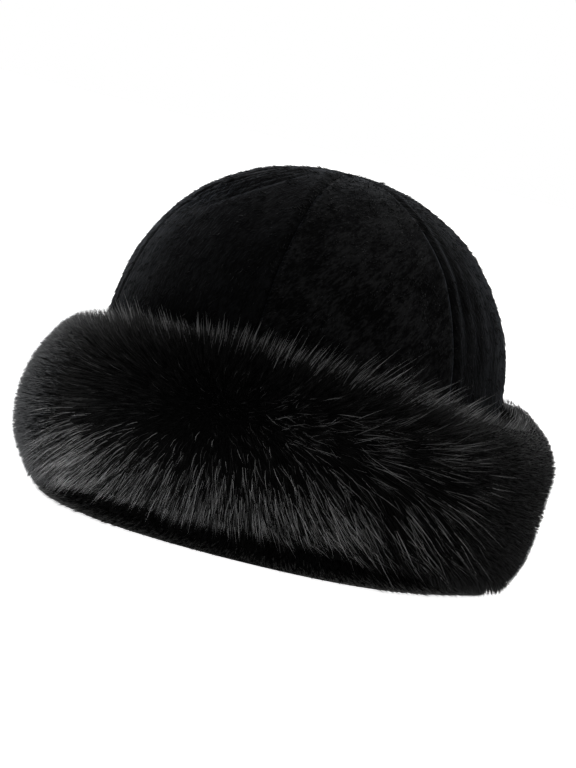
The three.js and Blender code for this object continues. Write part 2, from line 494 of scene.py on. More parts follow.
@dataclass(frozen=True)
class HatForm:
    """The oval plan and the dome, the same as the solids'."""

    height: float
    half_width: float = 0.0945
    half_depth: float = 0.1
    dome_rise: float = 0.095
    rim_lift: tuple = (
        # where the rim is lifted off the rest, and how far
        (Bell(84.0, 30.0), 0.0032),
        (Bell(-74.0, 30.0), 0.0030),
    )
    lift_height: float = 0.040
    swells: tuple = (
        # where round the hat and how high the fur stands out farther, and by how many millimetres
        (Bell(108.0, 38.0), Bell(71.0, 19.0), 7.5),
        (Bell(-76.0, 40.0), Bell(56.0, 26.0), 2.0),
    )
    edge_rows: tuple = (
        # azimuth, top edge and low edge of the trim in millimetres
        (0.0, 99.0, 11.0),
        (90.0, 86.0, 4.0),
        (135.0, 95.0, 6.0),
        (200.0, 92.0, 7.0),
        (270.0, 86.0, 4.0),
        (360.0, 99.0, 11.0),
    )

    @property
    def spring_line(self) -> float:
        """Height at which the dome starts."""
        return self.height - self.dome_rise

    def direction(self, azimuth: np.ndarray) -> np.ndarray:
        """Unit vectors on the plan, for azimuths in degrees."""
        turn = np.radians(azimuth)
        return np.stack([np.sin(turn), -np.cos(turn), np.zeros_like(turn)], axis=-1)

    def radius(self, azimuth: np.ndarray) -> np.ndarray:
        """Radius of the crown's oval at an azimuth.

        Args:
            azimuth: Azimuths, in degrees.

        Returns:
            The radius at each, in metres.
        """
        turn = np.radians(azimuth)
        across = self.half_depth * np.sin(turn)
        along = self.half_width * np.cos(turn)
        return self.half_width * self.half_depth / np.hypot(across, along)

    def ring_point(self, azimuth: np.ndarray, out: np.ndarray, up: np.ndarray) -> np.ndarray:
        """Points at an azimuth, a distance out from the crown's face and a height, in metres.

        Args:
            azimuth: Azimuths, in degrees.
            out: How far the points lie out from the crown's face.
            up: Their heights, before the rim's lift.

        Returns:
            The points.
        """
        azimuth, out, up = np.broadcast_arrays(azimuth, out, up)
        point = self.direction(azimuth) * (self.radius(azimuth) + out)[..., None]
        point[..., 2] = up + self.lift(azimuth, up)
        return point

    def trim_point(
        self,
        azimuth: np.ndarray,
        out: np.ndarray,
        up: np.ndarray,
        level_azimuth: np.ndarray | None = None,
    ) -> np.ndarray:
        """Points of the trim.

        Args:
            azimuth: Where they lie round the hat.
            out: How far they stand out from the crown's face, in millimetres.
            up: How high they would lie at the side, in millimetres.
            level_azimuth: Where the height is taken, if not at their own azimuth.

        Returns:
            The points, in metres.
        """
        level = azimuth if level_azimuth is None else level_azimuth
        return self.ring_point(azimuth, out * MM, self.trim_height(up, level))

    def lift(self, azimuth: np.ndarray, up: np.ndarray) -> np.ndarray:
        """How far the rim is lifted off the rest, in metres. It fades with the height."""
        lift = sum(most * place.around(azimuth) for place, most in self.rim_lift)
        return lift * np.clip(1.0 - up / self.lift_height, 0.0, 1.0) ** 2

    def swell(self, azimuth: np.ndarray, up: np.ndarray) -> np.ndarray:
        """How much farther the fur stands out at the two sides, in millimetres."""
        return sum(
            most * place.around(azimuth) * level.at(up) for place, level, most in self.swells
        )

    def trim_edges(self, azimuth: np.ndarray) -> tuple[np.ndarray, np.ndarray]:
        """Top and low edge of the trim at an azimuth, in millimetres, smooth between the rows.

        Args:
            azimuth: Azimuths, in degrees.

        Returns:
            The heights of the top edge and of the low edge.
        """
        turned = np.mod(azimuth, 360.0)
        rows = np.array(self.edge_rows)
        after = np.clip(np.searchsorted(rows[:, 0], turned, side="right"), 1, len(rows) - 1)
        share = (turned - rows[after - 1, 0]) / (rows[after, 0] - rows[after - 1, 0])
        share = share * share * (3.0 - 2.0 * share)
        edges = rows[after - 1] + (rows[after] - rows[after - 1]) * share[..., None]
        return edges[..., 1], edges[..., 2]

    def trim_height(self, up: np.ndarray, azimuth: np.ndarray) -> np.ndarray:
        """Height in metres at an azimuth of a point given at the side, in millimetres.

        Args:
            up: Heights at the side.
            azimuth: Azimuths, in degrees.

        Returns:
            The heights there.
        """
        top, low = self.trim_edges(azimuth)
        side_top, side_low = self.edge_rows[1][1:]
        return (low + (up - side_low) * (top - low) / (side_top - side_low)) * MM


def bearing(azimuth: np.ndarray, middle: float) -> np.ndarray:
    """Azimuth as seen from a middle one, between -180 and 180 degrees."""
    return np.mod(azimuth - middle + 180.0, 360.0) - 180.0


def smoothstep(value: np.ndarray, low: float, high: float) -> np.ndarray:
    """0 below low, 1 above high, smooth between."""
    share = np.clip((value - low) / (high - low), 0.0, 1.0)
    return share * share * (3.0 - 2.0 * share)


def round_the_hat(columns: int) -> np.ndarray:
    """Azimuths of a number of columns, evenly round the hat."""
    return np.arange(columns) * 360.0 / columns


def unit(vectors: np.ndarray) -> np.ndarray:
    """The same vectors, each of length 1."""
    return vectors / (np.linalg.norm(vectors, axis=-1, keepdims=True) + TINY)


def table_curve(rows: tuple, places: np.ndarray) -> np.ndarray:
    """Points along a table of section points, at shares of its length from 0 to 1.

    Args:
        rows: The table, a point in each row.
        places: The shares.

    Returns:
        The points.
    """
    points = np.array(rows, float)
    steps = np.linalg.norm(np.diff(points, axis=0), axis=1)
    length = np.concatenate([[0.0], np.cumsum(steps)]) / steps.sum()
    return np.stack([np.interp(places, length, column) for column in points.T], axis=-1)


# Meshes


def grid_faces(rows: int, columns: int, closed_rows: bool, closed_columns: bool) -> list[tuple]:
    """Quadrangles of a grid of points stored row by row.

    Args:
        rows: Number of rows.
        columns: Number of columns.
        closed_rows: Whether the last row joins the first.
        closed_columns: Whether the last column joins the first.

    Returns:
        The faces, which turn from columns to rows.
    """
    faces = []
    for row in range(rows if closed_rows else rows - 1):
        for column in range(columns if closed_columns else columns - 1):
            next_row, next_column = (row + 1) % rows, (column + 1) % columns
            faces.append(
                (
                    row * columns + column,
                    row * columns + next_column,
                    next_row * columns + next_column,
                    next_row * columns + column,
                )
            )
    return faces


def new_piece(
    name: str, points: np.ndarray, faces: list, uv: np.ndarray | None = None
) -> bpy.types.Object:
    """Makes a smooth mesh object, with doubles merged and faces pointing outwards.

    Args:
        name: The piece's name.
        points: Its vertices.
        faces: Its faces, as vertex indices.
        uv: A place in metres for each vertex, kept as the UV map "pile".

    Returns:
        The object.
    """
    mesh = bpy.data.meshes.new(name)
    mesh.from_pydata(points.reshape(-1, 3).tolist(), [], faces)
    if uv is not None:
        layer = mesh.uv_layers.new(name=PILE_MAP)
        corners = np.array([loop.vertex_index for loop in mesh.loops])
        layer.data.foreach_set("uv", uv.reshape(-1, 2)[corners].ravel())
    work = bmesh.new()
    work.from_mesh(mesh)
    bmesh.ops.remove_doubles(work, verts=work.verts, dist=MERGE_DISTANCE)
    bmesh.ops.dissolve_degenerate(work, dist=SLIVER_LENGTH, edges=work.edges)
    bmesh.ops.recalc_face_normals(work, faces=work.faces)
    work.to_mesh(mesh)
    work.free()
    mesh.shade_smooth()
    piece = bpy.data.objects.new(name, mesh)
    bpy.context.scene.collection.objects.link(piece)
    return piece


def dress(
    piece: bpy.types.Object, material: bpy.types.Material, slot: Slot, *nodes: str
) -> None:
    """Gives a piece its material and its place in the frame.

    Args:
        piece: The finished piece.
        material: Its material.
        slot: The record's slot; not used.
        nodes: The CAD nodes that it stands for.
    """
    piece.data.materials.clear()
    piece.data.materials.append(material)
    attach(piece, BODY)
    if nodes:
        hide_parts(*nodes)
    LOG.info("%s: %d faces", piece.name, len(piece.data.polygons))


# Hair


@dataclass(frozen=True)
class Coat:
    """How one growth of hair stands on its bed.

    Girth, clump and tuft are in millimetres, and stray is a share of the hair's length. A hair is
    shortest to longest times as long as its bed says. Pull draws a hair towards its clump's centre,
    tuft sways the whole clump, and chop makes some clumps shorter.
    """

    count: int
    seed: int
    girth: float
    shortest: float
    longest: float
    stray: float
    clump: float = 7.0
    pull: float = 0.0
    tuft: float = 0.0
    segments: int = 2
    chop: float = 0.0


class HairTree:
    """A Geometry Nodes tree that grows curved, pointed, three-sided hairs on a bed.

    The bed's vertices carry, as attributes, how far a hair's tip lies from its root, "tip", where
    its curve is drawn to on the way, "bend", how thickly it grows there, "cover", and how
    unevenly, "unrest".
    """

    inputs = (
        ("Hairs per square metre", "NodeSocketFloat"),
        ("Seed", "NodeSocketInt"),
        ("Girth", "NodeSocketFloat"),
        ("Shortest", "NodeSocketFloat"),
        ("Longest", "NodeSocketFloat"),
        ("Stray", "NodeSocketFloat"),
        ("Clump", "NodeSocketFloat"),
        ("Pull", "NodeSocketFloat"),
        ("Tuft", "NodeSocketFloat"),
        ("Segments", "NodeSocketInt"),
        ("Chop", "NodeSocketFloat"),
        ("Material", "NodeSocketMaterial"),
    )

    def __init__(self) -> None:
        """Builds the tree."""
        self.tree = bpy.data.node_groups.new("hair", "GeometryNodeTree")
        self.nodes = NodeMaker(self.tree)
        face = self.tree.interface
        face.new_socket("Bed", in_out="INPUT", socket_type="NodeSocketGeometry")
        for name, kind in self.inputs:
            face.new_socket(name, in_out="INPUT", socket_type=kind)
        face.new_socket("Hairs", in_out="OUTPUT", socket_type="NodeSocketGeometry")
        self.given = self.nodes.add("NodeGroupInput")
        roots = self.scatter()
        hairs = self.shape(self.plant(roots))
        end = self.nodes.add("NodeGroupOutput")
        self.nodes.feed(end.inputs[0], hairs)

    def value(self, name: str) -> Wire:
        """One of the tree's inputs."""
        return self.nodes.out(self.given, name)

    def read(self, name: str, kind: str) -> Wire:
        """A named attribute.

        Args:
            name: Its name.
            kind: Its data type.

        Returns:
            Its wire.
        """
        setting = {"data_type": kind}
        node = self.nodes.add("GeometryNodeInputNamedAttribute", setting, {"Name": name})
        return self.nodes.out(node)

    def keep(self, geometry: Wire, name: str, kind: str, value: Wire) -> Wire:
        """Stores a named attribute on the geometry's points.

        Args:
            geometry: The geometry.
            name: The attribute's name.
            kind: Its data type.
            value: What is stored.

        Returns:
            The geometry that carries it.
        """
        settings = {"data_type": kind, "domain": "POINT"}
        sockets = {"Geometry": geometry, "Name": name, "Value": value}
        return self.nodes.out(self.nodes.add("GeometryNodeStoreNamedAttribute", settings, sockets))

    def chance(self, low: Value, high: Value, salt: int, kind: str = "FLOAT") -> Wire:
        """A random value for each root, which differs with the seed and the salt.

        Args:
            low: The smallest value.
            high: The largest value.
            salt: A number that no other random value here uses.
            kind: Its data type.

        Returns:
            The random value.
        """
        first, result = (0, 0) if kind == "FLOAT_VECTOR" else (2, 1)
        sockets = {first: low, first + 1: high, "Seed": self.value("Seed") + salt}
        return self.nodes.out(
            self.nodes.add("FunctionNodeRandomValue", {"data_type": kind}, sockets), result
        )

    def scatter(self) -> Wire:
        """Scatters the roots and works out where each hair goes.

        Returns:
            The roots, which carry the hairs' attributes.
        """
        nodes = self.nodes
        density = self.value("Hairs per square metre") * self.read("cover", "FLOAT")
        sockets = {"Mesh": self.value("Bed"), "Density": density, "Seed": self.value("Seed")}
        roots = nodes.out(nodes.add("GeometryNodeDistributePointsOnFaces", None, sockets))
        place = nodes.out(nodes.add("GeometryNodeInputPosition"))
        cells = {"Vector": place, "Scale": 1.0 / self.value("Clump")}
        cell = nodes.add("ShaderNodeTexVoronoi", None, cells)
        centre = nodes.out(cell, "Position")
        own_way = nodes.vector("SUBTRACT", nodes.out(cell, "Color"), (0.5, 0.5, 0.5))
        unrest = self.read("unrest", "FLOAT")
        shortest, longest = self.value("Shortest"), self.value("Longest")
        spread = self.chance(-0.5, 0.5, salt=11) * unrest
        length = (longest + shortest) * 0.5 + (longest - shortest) * spread
        own_size = nodes.out(nodes.add("ShaderNodeSeparateXYZ", None, {0: own_way}), "X")
        length = length * (1.0 + own_size * (self.value("Chop") * unrest))
        tip = self.read("tip", "FLOAT_VECTOR") * length
        reach = self.value("Stray") * nodes.length(tip) * unrest
        stray = self.chance(*ANY_WAY, salt=23, kind="FLOAT_VECTOR") * reach
        swayed = own_way * (self.value("Tuft") * unrest * 2.0)
        drawn = (centre - place) * (self.value("Pull") * unrest) + swayed
        spin = self.chance(*ANY_WAY, salt=37, kind="FLOAT_VECTOR")
        girth = self.value("Girth") * self.chance(0.7, 1.3, salt=41)
        roots = self.keep(roots, "root", "FLOAT_VECTOR", place)
        roots = self.keep(roots, "spin", "FLOAT_VECTOR", spin)
        roots = self.keep(roots, "girth", "FLOAT", girth)
        bend = self.read("bend", "FLOAT_VECTOR") * length + stray * 0.4
        roots = self.keep(roots, "bend", "FLOAT_VECTOR", bend)
        return self.keep(roots, "tip", "FLOAT_VECTOR", tip + stray + drawn)

    def plant(self, roots: Wire) -> Wire:
        """Puts a straight unit hair on every root and makes them all one mesh.

        Args:
            roots: The roots.

        Returns:
            The straight hairs.
        """
        nodes = self.nodes
        sockets = {
            "Vertices": 3,
            "Side Segments": self.value("Segments"),
            "Radius Top": 0.0,
            "Radius Bottom": 1.0,
            "Depth": 1.0,
        }
        straight = nodes.out(
            nodes.add("GeometryNodeMeshCone", {"fill_type": "NGON"}, sockets), "Mesh"
        )
        place = nodes.out(nodes.add("GeometryNodeInputPosition"))
        straight = self.keep(straight, "ring", "FLOAT_VECTOR", place)
        sockets = {"Points": roots, "Instance": straight}
        planted = nodes.out(nodes.add("GeometryNodeInstanceOnPoints", None, sockets))
        return nodes.out(nodes.add("GeometryNodeRealizeInstances", None, {"Geometry": planted}))

    def shape(self, hairs: Wire) -> Wire:
        """Bends each hair from its root to its tip and gives it its girth and material.

        Args:
            hairs: The straight hairs.

        Returns:
            The finished hairs.
        """
        nodes = self.nodes
        ring = nodes.add("ShaderNodeSeparateXYZ", None, {0: self.read("ring", "FLOAT_VECTOR")})
        along = nodes.out(ring, "Z")
        bend, tip = self.read("bend", "FLOAT_VECTOR"), self.read("tip", "FLOAT_VECTOR")
        root, spin = self.read("root", "FLOAT_VECTOR"), self.read("spin", "FLOAT_VECTOR")
        middle = root + bend * (along * (1.0 - along) * 2.0) + tip * (along * along)
        heading = nodes.vector("NORMALIZE", bend * (2.0 - along * 4.0) + tip * (along * 2.0))
        side = nodes.vector("NORMALIZE", nodes.vector("CROSS_PRODUCT", heading, spin))
        other = nodes.vector("CROSS_PRODUCT", heading, side)
        girth = self.read("girth", "FLOAT") * (along + 1.0)
        skin = side * (nodes.out(ring, "X") * girth) + other * (nodes.out(ring, "Y") * girth)
        above_rest = nodes.vector("MAXIMUM", middle + skin, (-10.0, -10.0, 0.0))
        sockets = {"Geometry": hairs, "Position": above_rest}
        moved = nodes.add("GeometryNodeSetPosition", None, sockets)
        smooth = nodes.add("GeometryNodeSetShadeSmooth", None, {"Geometry": nodes.out(moved)})
        sockets = {"Geometry": nodes.out(smooth), "Material": self.value("Material")}
        return nodes.out(nodes.add("GeometryNodeSetMaterial", None, sockets))

    def grow(
        self, name: str, bed: "Bed", coat: Coat, material: bpy.types.Material
    ) -> bpy.types.Object:
        """Grows one coat of hair on a bed.

        Args:
            name: The new piece's name.
            bed: Where the hairs stand and how they lie.
            coat: How many there are and how they vary.
            material: Their material.

        Returns:
            The hairs, as one plain mesh object.
        """
        carrier = bed.carrier(name + "_bed")
        settings = {
            "Hairs per square metre": coat.count / bed.covered_area,
            "Seed": coat.seed,
            "Girth": coat.girth * MM,
            "Shortest": coat.shortest,
            "Longest": coat.longest,
            "Stray": coat.stray,
            "Clump": coat.clump * MM,
            "Pull": coat.pull,
            "Tuft": coat.tuft * MM,
            "Segments": coat.segments,
            "Chop": coat.chop,
            "Material": material,
        }
        modifier = carrier.modifiers.new("hair", "NODES")
        modifier.node_group = self.tree
        for socket in self.tree.interface.items_tree:
            if socket.in_out == "INPUT" and socket.name in settings:
                modifier[socket.identifier] = settings[socket.name]
        graph = bpy.context.evaluated_depsgraph_get()
        mesh = bpy.data.meshes.new_from_object(carrier.evaluated_get(graph))
        carrier.modifiers.clear()
        bpy.data.objects.remove(carrier)
        mesh.name = name
        for attribute in ("root", "spin", "girth", "bend", "tip", "ring", "cover", "unrest"):
            if attribute in mesh.attributes:
                mesh.attributes.remove(mesh.attributes[attribute])
        hairs = bpy.data.objects.new(name, mesh)
        bpy.context.scene.collection.objects.link(hairs)
        return hairs


@dataclass
class Bed:
    """A grid of roots: where a hair's tip and bend lie from it, its cover and its unrest."""

    roots: np.ndarray
    tips: np.ndarray
    bends: np.ndarray
    cover: np.ndarray
    unrest: np.ndarray
    closed_columns: bool = True

    @property
    def covered_area(self) -> float:
        """Area of the bed, weighted by its cover, in square metres.

        Returns:
            The area.
        """
        faces = np.array(grid_faces(*self.roots.shape[:2], False, self.closed_columns))
        corners = self.roots.reshape(-1, 3)[faces]
        diagonals = np.cross(corners[:, 2] - corners[:, 0], corners[:, 3] - corners[:, 1])
        areas = np.linalg.norm(diagonals, axis=1) / 2.0
        return float((areas * self.cover.reshape(-1)[faces].mean(axis=1)).sum())

    def carrier(self, name: str) -> bpy.types.Object:
        """Makes the bed a mesh that carries its attributes.

        Args:
            name: The carrier's name.

        Returns:
            The carrier, which is removed once the hair is grown.
        """
        faces = grid_faces(*self.roots.shape[:2], False, self.closed_columns)
        mesh = bpy.data.meshes.new(name)
        mesh.from_pydata(self.roots.reshape(-1, 3).tolist(), [], faces)
        for key, values in (("tip", self.tips), ("bend", self.bends)):
            layer = mesh.attributes.new(key, "FLOAT_VECTOR", "POINT")
            layer.data.foreach_set("vector", values.astype(np.float32).ravel())
        for key, values in (("cover", self.cover), ("unrest", self.unrest)):
            layer = mesh.attributes.new(key, "FLOAT", "POINT")
            layer.data.foreach_set("value", values.astype(np.float32).ravel())
        carrier = bpy.data.objects.new(name, mesh)
        bpy.context.scene.collection.objects.link(carrier)
        return carrier


# Sub-assemblies


@dataclass
class Crown:
    """The dome of six gores in short pile."""

    form: HatForm
    hair: HairTree
    wall: float = 0.003
    foot: float = 0.0054
    gore_angle: float = 60.0
    puff: float = 0.0008
    seam_overlap: float = 0.00004
    seam_dip: float = 0.0015
    seam_reach: float = 0.0017
    seam_fade: float = 18.0
    groove: Bell = Bell(0.0, 1.0)
    welt: Bell = Bell(2.0, 1.0)
    welt_height: float = 0.4
    soft_seams: tuple = (
        # where a side seam lies, and how much shallower it is than the front one
        (Bell(-60.0, 15.0), 0.6),
        (Bell(60.0, 15.0), 0.45),
    )
    relief_range: Step = Step(0.060, 0.088)
    unevenness: tuple = (Ruffle(0.028, 0.0007), Ruffle(0.011, 0.0003, 7.3))
    left_side: Bell = Bell(-76.0, 50.0)
    right_side: Bell = Bell(104.0, 50.0)
    shoulder_climb: Bell = Bell(52.0, 20.0)
    waist_climb: Bell = Bell(8.0, 14.0)
    left_shoulder: float = 2.4
    left_waist: float = 1.5
    right_shoulder: float = 1.3
    dome_length: float = 0.15
    crowding: float = 0.45
    pile_from: float = 0.072
    pile_to: float = 0.995
    pile_edge: float = 0.006
    pile_columns: int = 61
    pile_rows: int = 40
    pile_sunk: float = 0.0003
    pile_length: float = 0.0032
    # how far a hair's bend lies along it and stands off the cloth
    pile_bend: tuple = (0.35, 0.75)
    swerve: tuple = (Ruffle(0.020, 0.7, 3.1), Ruffle(0.008, 0.42, 6.4))
    towards_seam: Bell = Bell(0.0, 0.05)
    seam_swerve: float = 1.2
    stand: float = 0.1
    stand_ruffle: Ruffle = Ruffle(0.012, 0.07, 9.7)
    # the pile thins in the fold valleys so that the darker cloth shows there: painted shade in the
    # creases
    full_valley: float = 0.0014
    valley_thinning: float = 0.6
    groove_width: Bell = Bell(0.0, 0.010)
    groove_thinning: float = 0.4
    # the glints are lighter hairs, painted glints of the pile: in patches, beside the seams and,
    # most of all, towards the top, a painted highlight of the light from above
    glint_patches: tuple = (Ruffle(0.024, 1.0, 4.7), Ruffle(0.009, 0.6, 1.9))
    glint_patch_edge: Step = Step(-0.1, 0.45)
    glint_floor: float = 0.05
    glint_welt: Bell = Bell(0.034, 0.012)
    glint_on_welt: float = 0.9
    glint_height: Step = Step(0.55, 0.8)
    glint_on_top: float = 2.2
    glint_thinning: float = 2.4
    glint_least: float = 0.02
    # one for each gore
    nap: tuple = (-30.0, 12.0, -10.0, 14.0, -12.0, -24.0)
    hairs: tuple = (10000, 5200, 4400, 4400, 4800, 7000)
    # shares of each gore's hairs that are painted glints, most on the front gore
    glints: tuple = (0.43, 0.2, 0.17, 0.17, 0.16, 0.15)
    columns: int = 45
    wall_rows: int = 6
    dome_rows: int = 40
    names: tuple = ("front_right", "right", "back_right", "back_left", "left", "front_left")
    folds: tuple = (
        Fold(65.5, 67.5, 0.15, 0.92, 2.0, 0.0013),
        Fold(71.5, 73.0, 0.1, 0.80, 2.8, 0.0010),
        Fold(80.0, 82.0, 0.0, 0.62, 3.6, 0.0007),
        Fold(-70.0, -42.0, 0.6, 0.97, 1.6, 0.0020),
        Fold(-64.0, -36.0, 0.6, 0.98, 1.6, 0.0022),
        Fold(-58.0, -30.0, 0.6, 0.98, 1.6, 0.0022),
        Fold(-52.0, -24.0, 0.62, 0.97, 1.6, 0.0020),
        Fold(-46.0, -18.0, 0.64, 0.96, 1.6, 0.0018),
    )
    cloth: PileFinish = PileFinish(
        "crown_pile_cloth", (0.0006, 0.0006, 0.0007), (0.0046, 0.0049, 0.0054), 0.095
    )
    # the front gore's cloth is a lighter copy of the others', its pale slanted strokes painted
    # glints of the pile
    front_cloth: PileFinish = PileFinish(
        "crown_front_cloth", (0.0006, 0.0006, 0.0007), (0.0115, 0.0117, 0.0121), 0.1, slant=40.0
    )
    pile: StrandFinish = StrandFinish("crown_pile_hair", (0.0036, 0.0037, 0.0039), 0.6, 0.1)
    # the glint hairs are six times as light as the pile: painted glints
    glint: StrandFinish = StrandFinish("crown_pile_glint", (0.021, 0.0214, 0.0223), 0.5, 0.2)
    pile_coat: Coat = Coat(0, 50, 0.20, 0.7, 1.2, 0.14, 4.0, 0.3, 0.6, 1)
    glint_coat: Coat = Coat(0, 60, 0.15, 0.6, 1.1, 0.12, 2.2, 0.65, 0.7, 1)

    def build(self) -> None:
        """Builds and dresses the gores and their pile."""
        cloth, front_cloth = self.cloth.make(), self.front_cloth.make()
        pile, glint = self.pile.make(), self.glint.make()
        for index, name in enumerate(self.names):
            seam = index * self.gore_angle
            wall = self.gore(name, seam)
            # the front gore takes the lighter cloth with its painted glints
            dress(wall, cloth if index else front_cloth, Slot.CROWN, "crown_gore_" + name)
            bed = self.pile_bed(seam, self.nap[index])
            count, share = self.hairs[index], self.glints[index]
            for part, grown, coat, material, place in (
                ("crown_pile_", 1.0 - share, self.pile_coat, pile, bed),
                ("crown_glint_", share, self.glint_coat, glint, self.glint_bed(bed)),
            ):
                coat = replace(coat, count=int(count * grown), seed=coat.seed + index)
                dress(self.hair.grow(part + name, place, coat, material), material, Slot.CROWN)

    def glint_bed(self, bed: Bed) -> Bed:
        """A gore's bed for its lighter hairs, painted glints: in patches, beside the seams and, as a
        painted highlight of the light from above, towards the top.

        Args:
            bed: The bed of the gore's pile.

        Returns:
            The bed of its glints.
        """
        rows, columns = bed.cover.shape
        patches = self.glint_patch_edge.above(sum(r.at(bed.roots) for r in self.glint_patches))
        beside = np.linspace(self.pile_edge, 1.0 - self.pile_edge, columns)
        seamside = self.glint_welt.at(np.minimum(beside, 1.0 - beside))[None, :]
        high = self.glint_height.above(np.linspace(0.0, 1.0, rows))[:, None]
        cover = patches + self.glint_floor
        cover = cover + self.glint_on_welt * seamside + self.glint_on_top * high
        # grooves and valleys thin the glints more than twice as much as the pile; in the fold
        # valleys this is painted shade
        thinned = 1.0 - self.glint_thinning * (1.0 - bed.cover)
        return replace(bed, cover=cover * np.maximum(thinned, self.glint_least))

    def surface(
        self, seam: float, shares: np.ndarray, rises: np.ndarray, depth: float
    ) -> np.ndarray:
        """Points of a gore's face.

        Args:
            seam: Azimuth of the gore's first seam.
            shares: Shares of the gore's width, one for each column.
            rises: 0 at the foot, 1 at the spring line, 2 at the top, one for each row.
            depth: How far the face lies inside the outer one.

        Returns:
            The points, by row and column.
        """
        share, rise = np.meshgrid(shares, rises)
        azimuth = seam + share * self.gore_angle
        lift = np.radians(90.0) * np.clip(rise - 1.0, 0.0, 1.0)
        climb = np.sin(lift)
        wall = self.foot + (self.form.spring_line - self.foot) * np.minimum(rise, 1.0)
        face = wall + self.form.dome_rise * climb
        reach = self.relief(azimuth, share, face, climb) - depth
        reach = reach + self.shoulder(azimuth, np.degrees(lift))
        plan = (self.form.radius(azimuth) + reach) * np.cos(lift)
        points = self.form.direction(azimuth) * plan[..., None]
        points[..., 2] = face + reach * climb + self.form.lift(azimuth, face)
        draw_in = self.seam_overlap / 2.0 / math.sin(math.radians(self.gore_angle / 2.0))
        return points - self.form.direction(np.array(seam + self.gore_angle / 2.0)) * draw_in

    def shoulder(self, azimuth: np.ndarray, lift: np.ndarray) -> np.ndarray:
        """How far the dome bulges at its shoulders, and draws in above the brim, in metres.

        Args:
            azimuth: Azimuths, in degrees.
            lift: Climbs over the dome, in degrees.

        Returns:
            The bulge at each.
        """
        left, right = self.left_side.around(azimuth), self.right_side.around(azimuth)
        bulge, waist = self.shoulder_climb.at(lift), self.waist_climb.at(lift)
        on_left = left * (self.left_shoulder * bulge - self.left_waist * waist)
        return (on_left + right * self.right_shoulder * bulge) * MM

    def relief(
        self, azimuth: np.ndarray, share: np.ndarray, face: np.ndarray, climb: np.ndarray
    ) -> np.ndarray:
        """How far puff, seams and folds move the crown's face outwards, in metres.

        Args:
            azimuth: Azimuths, in degrees.
            share: Shares of the gore's width.
            face: Heights on the face, in metres.
            climb: Heights over the spring line, as shares of the dome's rise.

        Returns:
            The relief at each.
        """
        strength = self.relief_range.above(face)
        plan = self.form.radius(azimuth) * np.sqrt(1.0 - climb * climb)
        to_seam = np.minimum(share, 1.0 - share) * np.radians(self.gore_angle) * plan
        fade = np.minimum(1.0, plan / (self.seam_fade * self.seam_reach))
        aside = to_seam / self.seam_reach
        soft = sum(less * place.around(azimuth) for place, less in self.soft_seams)
        profile = self.groove.at(aside) - self.welt_height * self.welt.at(aside)
        seam = self.seam_dip * (1.0 - soft) * profile * fade
        puff = self.puff * np.sin(np.pi * share) * fade
        spots = self.form.direction(azimuth) * plan[..., None]
        spots[..., 2] = face
        unevenness = sum(ruffle.at(spots) for ruffle in self.unevenness)
        return strength * (puff - seam - self.fold_depth(azimuth, climb) + unevenness * fade)

    def fold_depth(self, azimuth: np.ndarray, climb: np.ndarray) -> np.ndarray:
        """Depth of the soft folds, in metres.

        Args:
            azimuth: Azimuths, in degrees.
            climb: Heights over the spring line, as shares of the dome's rise.

        Returns:
            The depth at each.
        """
        depth = np.zeros_like(azimuth)
        for fold in self.folds:
            along = (climb - fold.start) / (fold.end - fold.start)
            middle = fold.low_azimuth + (fold.high_azimuth - fold.low_azimuth) * along
            aside = bearing(azimuth, middle) / fold.width
            inside = (along > 0.0) & (along < 1.0)
            profile = fold.depth * np.exp(-aside * aside) * np.sin(np.pi * along)
            depth += np.where(inside, profile, 0.0)
        return depth

    def shares(self) -> np.ndarray:
        """Shares of a gore's width, closer together at its seams.

        Returns:
            The shares, from 0 to 1.
        """
        even = np.linspace(-1.0, 1.0, self.columns)
        crowded = 0.5 * np.sin(even * np.pi / 2.0) * self.crowding
        return 0.5 + crowded + even * 0.5 * (1.0 - self.crowding)

    def rises(self) -> np.ndarray:
        """Rows of a gore from its foot to the top."""
        wall = np.arange(self.wall_rows) / self.wall_rows
        return np.concatenate([wall, 1.0 + np.linspace(0.0, 1.0, self.dome_rows)])

    def gore(self, name: str, seam: float) -> bpy.types.Object:
        """Builds one gore as a closed wall.

        Args:
            name: Where the gore sits.
            seam: Azimuth of its first seam.

        Returns:
            The gore.
        """
        shares, rises = self.shares(), self.rises()
        outer = self.surface(seam, shares, rises, 0.0)
        inner = self.surface(seam, shares, rises, self.wall)
        rows, columns = outer.shape[:2]
        step = rows * columns
        faces = grid_faces(rows, columns, False, False)
        faces += [tuple(step + i for i in reversed(face)) for face in faces]
        for row in range(rows - 1):
            for column in (0, columns - 1):
                low, high = row * columns + column, (row + 1) * columns + column
                faces.append((low, high, high + step, low + step))
        for column in range(columns - 1):
            faces.append((column, column + 1, column + 1 + step, column + step))
        share, rise = np.meshgrid(shares, rises)
        width = np.hypot(outer[..., 0], outer[..., 1]) * np.radians(self.gore_angle)
        over_dome = np.maximum(rise - 1.0, 0.0) * self.dome_length
        meridian = np.minimum(rise, 1.0) * self.form.spring_line + over_dome
        # each gore's pattern starts a metre from the next one's, so that none repeats
        uv = np.stack([seam / self.gore_angle + (share - 0.5) * width, meridian], axis=-1)
        walls = np.stack([outer, inner])
        return new_piece("crown_cloth_" + name, walls, faces, np.stack([uv, uv]))

